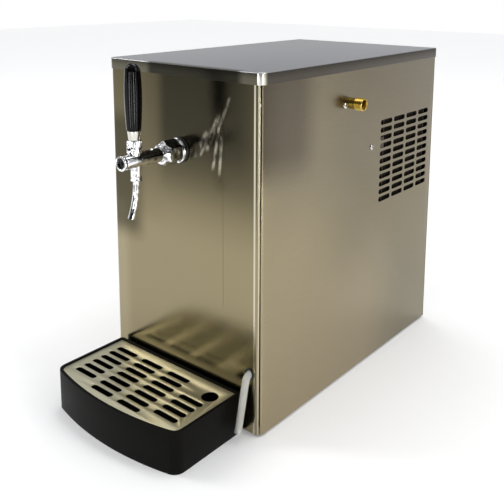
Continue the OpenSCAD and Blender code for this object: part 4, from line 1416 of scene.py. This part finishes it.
@dataclass
class Plumbing:
    """The brass inlet on the right side and the clear drain hose at the front."""

    shop: Shop
    inlet_r: float = 8.33
    neck_r: float = 7.23
    bore_r: float = 5.5
    mouth_r: float = 6.5
    thread_pitch: float = 1.337
    thread_depth: float = 0.6
    hose_r: float = 4.5
    hose_wall: float = 1.1
    hose_x: float = 113.0
    hose_tilt: float = 20.0

    def hose(self) -> None:
        """Makes the drain hose, from the grommet down to the counter."""
        route = rounded([(2.0, 79.22), (-5.0, 76.67, 9), (-19.8, 12.8)], closed=False, steps=7)
        path = [self.shop.layout.at(self.hose_x, y, z) for y, z in route]
        clear()
        curve = bpy.data.curves.new("drain_hose_tube", "CURVE")
        curve.dimensions = "3D"
        curve.bevel_depth = self.hose_r * MM
        curve.bevel_resolution = 8
        spline = curve.splines.new("POLY")
        spline.points.add(len(path) - 1)
        for point, place in zip(spline.points, path):
            point.co = (*place, 1)
        obj = bpy.data.objects.new("drain_hose_tube", curve)
        bpy.context.collection.objects.link(obj)
        hold(obj)
        bpy.ops.object.convert(target="MESH")
        hose = bpy.context.object
        edit(hose)
        tidy_shell()
        modify(hose, "SOLIDIFY", thickness=self.hose_wall * MM, offset=-1)
        self.shop.fit(hose, Body.CABINET, "clear_hose", ["drain_hose"])
        2 * self.hose_r * MM

    def grommet(self) -> None:
        """Makes the rubber grommet with its slanted bore."""
        start, end = self.shop.layout.span("hose_grommet", 1)
        middle = self.shop.layout.middle("hose_grommet")
        long = end - start
        profile = rounded(
            [(0, 0), (7, 0, 0.7), (7, 1.6, 0.3), (6, 1.6), (6, long - 1.6), (7, long - 1.6, 0.3),
             (7, long, 0.5), (0, long)], closed=False,
        )
        place = self.shop.layout.at(middle.x, start, middle.z)
        ring = turned("hose_grommet_turned", profile, place, Along.Y, 56)
        reach = 20.0
        bore = [(0, -reach), (self.hose_r + 0.1, -reach), (self.hose_r + 0.1, reach), (0, reach)]
        tool = turned("bore_tool", bore, Vector((0, 0, 0)), Along.Z, 40)
        tilt = Matrix.Rotation(math.radians(-90 - self.hose_tilt), 4, "X")
        settle(tool, self.shop.layout.at(middle.x, start + 1.6, middle.z), tilt)
        combine(ring, tool, Join.CUT)
        self.shop.fit(ring, Body.CABINET, "black_rubber", ["hose_grommet"])

    def inlet(self) -> None:
        """Makes the threaded brass inlet."""
        layout = self.shop.layout
        inner, outer = layout.span("inlet_fitting", 0)
        middle = layout.middle("inlet_fitting")
        long = outer - inner
        thread = 12.0
        step = long - thread
        crest, root = self.inlet_r, self.inlet_r - self.thread_depth
        ridges = []
        count = int((thread - 2.4) / self.thread_pitch)
        for k in range(count):
            low = step + 1.6 + k * self.thread_pitch
            ridges += [(root, low), (crest, low + 0.42), (crest, low + 0.66), (root, low + 1.08)]
        profile = [
            (self.mouth_r, long - 0.5), (self.mouth_r + 0.3, long), (crest - 0.9, long),
            (crest - 0.2, long - 0.7), *reversed(ridges), (crest, step + 1.2), (crest, step + 0.3),
            (crest - 0.3, step), (self.neck_r, step), (self.neck_r, 17), (5, 17), (5, 0), (3, 0), (3, 19),
            (self.bore_r, 19), (self.bore_r, long - 8), (self.mouth_r, long - 7.4),
        ]
        fitting = turned("inlet_fitting_turned", profile, layout.at(inner, middle.y, middle.z), Along.X, 64)
        self.shop.fit(fitting, Body.CABINET, "inlet_brass", ["inlet_fitting"])

    def build(self) -> None:
        """Builds the hose, its grommet and the inlet."""
        self.hose()
        self.grommet()
        self.inlet()


# ---------------------------------------------------------------- drip tray


@dataclass
class DripTray:
    """The black drip tray with its bowed front, and the slotted steel plate in it."""

    shop: Shop
    wall: float = 4.2
    ledge: float = 3.0
    floor: float = 2.5
    seat_drop: float = 2.6
    bow: float = 15.0
    corner_r: float = 14.0
    rear_r: float = 5.0
    plate_gap: float = 0.4
    slot_size: tuple[float, float] = (37.0, 8.0)
    slot_pitch: tuple[float, float] = (48.4, 13.5)
    slot_first: float = -22.0
    slot_rows: tuple[tuple[int, int], ...] = ((0, 5), (0, 6), (0, 6), (2, 5))
    finger_r: float = 10.5
    finger_from: tuple[float, float] = (24.1, 28.5)

    def __post_init__(self) -> None:
        """Reads the tray's place from the frame."""
        layout = self.shop.layout
        left, right = layout.span("drip_tray", 0)
        self.front, self.back = layout.span("drip_tray", 1)
        self.high = layout.span("drip_tray", 2)[1]
        self.mid_x = (left + right) / 2
        self.half = (right - left) / 2
        self.bow_r = (self.half**2 + self.bow**2) / (2 * self.bow)
        self.bow_y = self.front + self.bow_r

    def outline(self, inset: float) -> list[Point]:
        """Draws the tray's outline about its own middle.

        Args:
            inset: How far the outline is drawn in, in millimetres.

        Returns:
            The outline's points.
        """
        corner_x = self.half - self.corner_r
        corner_y = self.bow_y - math.sqrt((self.bow_r - self.corner_r) ** 2 - corner_x**2)
        turn = math.atan2(self.bow_y - corner_y, corner_x)
        small = self.corner_r - inset
        rear = max(self.rear_r - inset, 0.5)
        steps, bow_steps = 8, 24
        right = [
            (corner_x + small * math.cos(-turn * k / steps), corner_y + small * math.sin(-turn * k / steps))
            for k in range(steps + 1)
        ]
        sweep = math.pi - 2 * turn
        angles = [-turn - sweep * k / bow_steps for k in range(1, bow_steps)]
        reach = self.bow_r - inset
        front = [(reach * math.cos(a), self.bow_y + reach * math.sin(a)) for a in angles]
        left = [(-x, y) for x, y in reversed(right)]
        wide, back = self.half - inset, self.back - inset
        rear_left = [(-wide + rear * (1 - math.sin(a)), back - rear * (1 - math.cos(a)))
                     for a in (math.pi / 2 * (1 - k / 5) for k in range(6))]
        rear_right = [(-x, y) for x, y in reversed(rear_left)]
        return [*right, *front, *left, *rear_left, *rear_right]

    def tray(self) -> None:
        """Makes the tray, hollowed in steps from a raised outline."""
        tray = extruded("drip_tray_moulded", self.outline(0), 0, self.high)
        for inset, bottom in ((self.wall + self.ledge, self.floor), (self.wall, self.high - self.seat_drop)):
            tool = extruded("tray_tool", self.outline(inset), bottom, self.high + 5)
            combine(tray, tool, Join.CUT)
        edged(tray, 0.9, 3, 50)
        settle(tray, self.shop.layout.at(self.mid_x, 0, 0))
        self.shop.fit(tray, Body.TRAY, "tray_black", ["drip_tray"])

    def plate(self) -> None:
        """Makes the slotted plate with its finger hole."""
        low, high = self.shop.layout.span("drip_plate", 2)
        holes = [
            slot_outline(
                (column - 1.5) * self.slot_pitch[0], self.back + self.slot_first - row * self.slot_pitch[1],
                *self.slot_size,
            )
            for column, (first, last) in enumerate(self.slot_rows)
            for row in range(first, last + 1)
        ]
        x, y = self.half - self.finger_from[0], self.back - self.finger_from[1]
        holes.append([
            (x + self.finger_r * math.cos(a), y + self.finger_r * math.sin(a))
            for a in (math.tau * k / 40 for k in range(40))
        ])
        plate = perforated(
            "drip_plate_pressed", self.outline(self.wall + self.plate_gap), holes, high - low, 0.3
        )
        settle(plate, self.shop.layout.at(self.mid_x, 0, (low + high) / 2))
        self.shop.fit(plate, Body.PLATE, "plate_steel", ["drip_plate"])

    def build(self) -> None:
        """Builds the tray and its plate."""
        self.tray()
        self.plate()


# ---------------------------------------------------------------- rear controls


@dataclass
class RearControls:
    """The mains socket and the thermostat's knob."""

    shop: Shop
    knob_grips: int = 24

    def socket(self) -> None:
        """Makes the flanged mains socket with its open shroud."""
        layout = self.shop.layout
        middle = layout.middle("power_inlet")
        face = layout.span("rear_panel", 1)[1]
        socket = block("power_inlet_moulded", (-25, 0, -12), (25, 2, 12))
        edged(socket, 1.6, 3, 60)
        combine(socket, block("shell", (-13.5, -24, -9.8), (13.5, 0.5, 9.8)), Join.FUSE)
        combine(socket, block("cavity", (-11.8, -16, -8), (11.8, 4, 8)), Join.CUT)
        for side in (-1, 1):
            hole = turned("hole_tool", [(0, -2), (1.7, -2), (1.7, 5), (0, 5)], Vector((0, 0, 0)), Along.Y, 20)
            combine(socket, settle(hole, Vector((side * 20 * MM, 0, 0))), Join.CUT)
        settle(socket, layout.at(middle.x, face, middle.z))
        self.shop.fit(socket, Body.CABINET, "black_plastic", ["power_inlet"])

    def knob(self) -> None:
        """Makes the ribbed knob with a pointer line."""
        layout = self.shop.layout
        start, end = layout.span("thermostat_knob", 1)
        middle = layout.middle("thermostat_knob")
        face = layout.span("rear_panel", 1)[1]
        foot = face - start
        long = end - start
        profile = [(0, 0), (3, 0), (3, foot + 0.5), (13.6, foot + 0.5), (14, foot + 1), (14, foot + 2.4),
                   (13.5, foot + 3), (12, foot + 3.3), (10.9, long - 1), (10.2, long - 0.3), (9.3, long),
                   (0, long)]
        count = self.knob_grips * 4
        place = layout.at(middle.x, start, middle.z)
        knob = turned("thermostat_knob_moulded", profile, place, Along.Y, count)

        def rib(co: Vector) -> bool:
            """Picks the columns between the knob's ribs."""
            out = co - place
            column = round(math.atan2(out.x, out.z) / math.tau * count) % 4
            return column == 0 and math.hypot(out.x, out.z) > 8 * MM and out.y > (foot + 3.2) * MM
        edit(knob, rib)
        bpy.ops.transform.resize(value=(0.95, 1, 0.95), center_override=place)
        bpy.ops.object.mode_set(mode="OBJECT")
        line = block("line_tool", (-0.6, long - 1, 2), (0.6, long + 1, 12))
        combine(knob, settle(line, place), Join.CUT)
        self.shop.fit(knob, Body.KNOB, "black_plastic", ["thermostat_knob"])

    def build(self) -> None:
        """Builds the socket and the knob."""
        self.socket()
        self.knob()


# ---------------------------------------------------------------- inner parts


class InnerParts:
    """Dresses the frame's own nodes, which keep their shape."""

    NODES: dict[str, tuple[str, ...]] = {
        "rear_steel": ("rear_panel",),
        "zinc_steel": ("base_pan", "inlet_bracket", "thermostat"),
        "plain_steel": ("bath_liner", "product_coil", "valve_plunger", "agitator_motor", "fan_motor"),
        "tap_chrome": ("tap_lever", "tap_shank", "shank_nut"),
        "inlet_brass": ("inlet_nut", "power_pins"),
        "foam": ("bath_insulation", "bath_lid"),
        "copper_pipe": ("evaporator_coil", "condenser_tubes", "discharge_pipe", "suction_pipe"),
        "fin_alloy": ("condenser_fins", "condenser_brackets"),
        "black_enamel": ("compressor", "fan_shroud"),
        "black_rubber": ("compressor_mounts",),
        "black_plastic": ("start_relay",),
        "white_plastic": ("agitator_impeller", "supply_tube", "feed_tube", "fan_blade"),
        "clear_hose": ("drain_tube",),
    }

    def __init__(self, shop: Shop) -> None:
        """Keeps the shop's finishes."""
        self.shop = shop

    def dress(self) -> None:
        """Gives each node its finish."""
        for finish, nodes in self.NODES.items():
            for node in nodes:
                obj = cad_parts[node]
                for slot in obj.material_slots:
                    slot.material = self.shop.finishes[finish]
                if not obj.material_slots:
                    obj.data.materials.append(self.shop.finishes[finish])
                log.info("%s: finish %s", node, finish)


# ---------------------------------------------------------------- studio


@dataclass
class Studio:
    """The pale floor, the soft lights and the camera."""

    camera_at: tuple[float, float, float] = (0.6112, -0.7624, 0.5364)
    azimuth: float = 39.79
    elevation: float = 9.96
    roll: float = 0.2
    lens: float = 51.59
    shift_y: float = -0.2817
    dark_bands: tuple[Point, ...] = ((0.3, 0.42), (0.62, 0.74))

    def camera(self) -> None:
        """Places the camera."""
        data = bpy.data.cameras.new("camera")
        data.lens = self.lens
        data.sensor_width = 36.0
        data.shift_y = self.shift_y
        camera = bpy.data.objects.new("camera", data)
        bpy.context.collection.objects.link(camera)
        turn, lift, roll = (math.radians(a) for a in (self.azimuth, self.elevation, self.roll))
        right = Vector((math.cos(turn), math.sin(turn), 0))
        back = Vector((math.sin(turn) * math.cos(lift), -math.cos(turn) * math.cos(lift), math.sin(lift)))
        up = back.cross(right)
        rolled_right = right * math.cos(roll) + up * math.sin(roll)
        rolled_up = up * math.cos(roll) - right * math.sin(roll)
        basis = Matrix((rolled_right, rolled_up, back)).transposed().to_4x4()
        camera.matrix_world = Matrix.Translation(self.camera_at) @ basis
        bpy.context.scene.camera = camera

    def floor(self) -> None:
        """Lays the pale floor."""
        clear()
        bpy.ops.mesh.primitive_plane_add(size=14)
        floor = bpy.context.object
        floor.name = "studio_floor"
        recipe = Recipe("studio_floor")
        x, y = recipe.axis("X"), recipe.axis("Y")
        away = recipe.rise(x * x + y * y, 0.3, 4.0)
        grain = recipe.noise((40.0, 40.0, 40.0))
        recipe.dress(
            Base_Color=recipe.mix(grain, (0.86, 0.86, 0.86), (0.88, 0.88, 0.88)), Roughness=0.8,
            Emission_Color=recipe.mix(away, (0.12, 0.12, 0.12), (0.5, 0.5, 0.5)), Emission_Strength=1.0,
            Specular_IOR_Level=0.1,
        )
        floor.data.materials.append(recipe.material)

    def softbox(self, name: str, at: Sequence[float], size: Point, power: float) -> None:
        """Hangs a soft light that faces the cooler.

        Args:
            name: Its name.
            at: Its place in metres.
            size: Its width and height in metres.
            power: Its power in watts.
        """
        data = bpy.data.lights.new(name, "AREA")
        data.shape = "RECTANGLE"
        data.size, data.size_y = size
        data.energy = power
        light = bpy.data.objects.new(name, data)
        light.location = at
        aim = Vector((0, 0, 0.2)) - Vector(at)
        light.rotation_euler = aim.to_track_quat("-Z", "Y").to_euler()
        bpy.context.collection.objects.link(light)

    def sky(self) -> None:
        """Wraps the scene in soft light that is darker round the camera's side."""
        world = bpy.data.worlds.new("studio_sky")
        bpy.context.scene.world = world
        world.use_nodes = True
        tree = world.node_tree
        tree.nodes.clear()

        def add(kind: str, settings: dict | None = None, inputs: dict | None = None) -> bpy.types.Node:
            """Adds a node.

            Args:
                kind: The node's type.
                settings: Its settings, which are set first.
                inputs: Values or sockets for its inputs.

            Returns:
                The node.
            """
            made = tree.nodes.new(kind)
            for key, value in (settings or {}).items():
                setattr(made, key, value)
            for key, value in (inputs or {}).items():
                if isinstance(value, bpy.types.NodeSocket):
                    tree.links.new(value, made.inputs[key])
                else:
                    made.inputs[key].default_value = value
            return made
        way = add("ShaderNodeTexCoord").outputs["Generated"]
        ahead = add("ShaderNodeVectorMath", {"operation": "DOT_PRODUCT"}, {0: way, 1: (0.45, -0.89, 0)})
        height = add("ShaderNodeSeparateXYZ", None, {0: way}).outputs["Z"]
        soft = {"interpolation_type": "SMOOTHSTEP"}
        facing = add("ShaderNodeMapRange", soft, {0: ahead.outputs["Value"], 1: 0.2, 2: 0.75, 3: 0.0, 4: 1.0})
        low = add("ShaderNodeMapRange", soft, {0: height, 1: 0.2, 2: 0.7, 3: 0.96, 4: 0.3})
        dim = add("ShaderNodeMath", {"operation": "MULTIPLY"}, {0: facing.outputs[0], 1: low.outputs[0]})
        level = add("ShaderNodeMapRange", soft, {0: height, 1: 0.05, 2: 0.8, 3: 0.55, 4: 0.75})
        lit = add("ShaderNodeMath", {"operation": "SUBTRACT"}, {0: 1.0, 1: dim.outputs[0]})
        power = add("ShaderNodeMath", {"operation": "MULTIPLY"}, {0: lit.outputs[0], 1: level.outputs[0]})
        for low_z, high_z in self.dark_bands:
            ramps = [
                {0: height, 1: z - BAND_SOFT, 2: z + BAND_SOFT, 3: 0.0, 4: 1.0} for z in (low_z, high_z)
            ]
            edges = [add("ShaderNodeMapRange", soft, ramp).outputs[0] for ramp in ramps]
            band = add("ShaderNodeMath", {"operation": "SUBTRACT"}, {0: edges[0], 1: edges[1]})
            gap = add("ShaderNodeMath", {"operation": "MULTIPLY_ADD"}, {0: band.outputs[0], 1: -0.88, 2: 1.0})
            power = add("ShaderNodeMath", {"operation": "MULTIPLY"}, {0: power.outputs[0], 1: gap.outputs[0]})
        around = add("ShaderNodeBackground", None, {0: (0.97, 0.98, 1.0, 1.0), 1: power.outputs[0]})
        plain = add("ShaderNodeBackground", None, {0: (1.0, 1.0, 1.0, 1.0), 1: 1.0})
        seen = add("ShaderNodeLightPath").outputs["Is Camera Ray"]
        mixed = add("ShaderNodeMixShader", None, {0: seen, 1: around.outputs[0], 2: plain.outputs[0]})
        add("ShaderNodeOutputWorld", None, {0: mixed.outputs[0]})

    def build(self) -> None:
        """Sets up the camera, floor, lights and sky."""
        bpy.context.scene.view_settings.view_transform = "Standard"
        self.camera()
        self.floor()
        self.softbox("key_light", (-1.5, -0.9, 1.7), (0.5, 1.2), 16)
        self.softbox("side_light", (1.8, 0.4, 1.4), (0.5, 1.2), 12)
        self.softbox("front_strip", (0.336, -1.256, 0.25), (0.07, 0.5), 2.5)
        self.softbox("side_strip", (1.205, -0.487, 0.25), (0.07, 0.5), 2.5)
        self.softbox("top_light", (0.0, 0.5, 2.2), (1.8, 0.8), 22)
        self.sky()


def main() -> None:
    """Builds the cooler's looks and its studio."""
    logging.basicConfig(level=logging.INFO, format="%(name)s %(message)s")
    layout = Layout.from_frame()
    Studio().build()
    shop = Shop(layout, Finishes(layout))
    Plumbing(shop).build()
    Cabinet(shop).build()
    Screws(shop).build()
    Tap(shop).build()
    DripTray(shop).build()
    RearControls(shop).build()
    InnerParts(shop).dress()


if __name__ == "__main__":
    main()
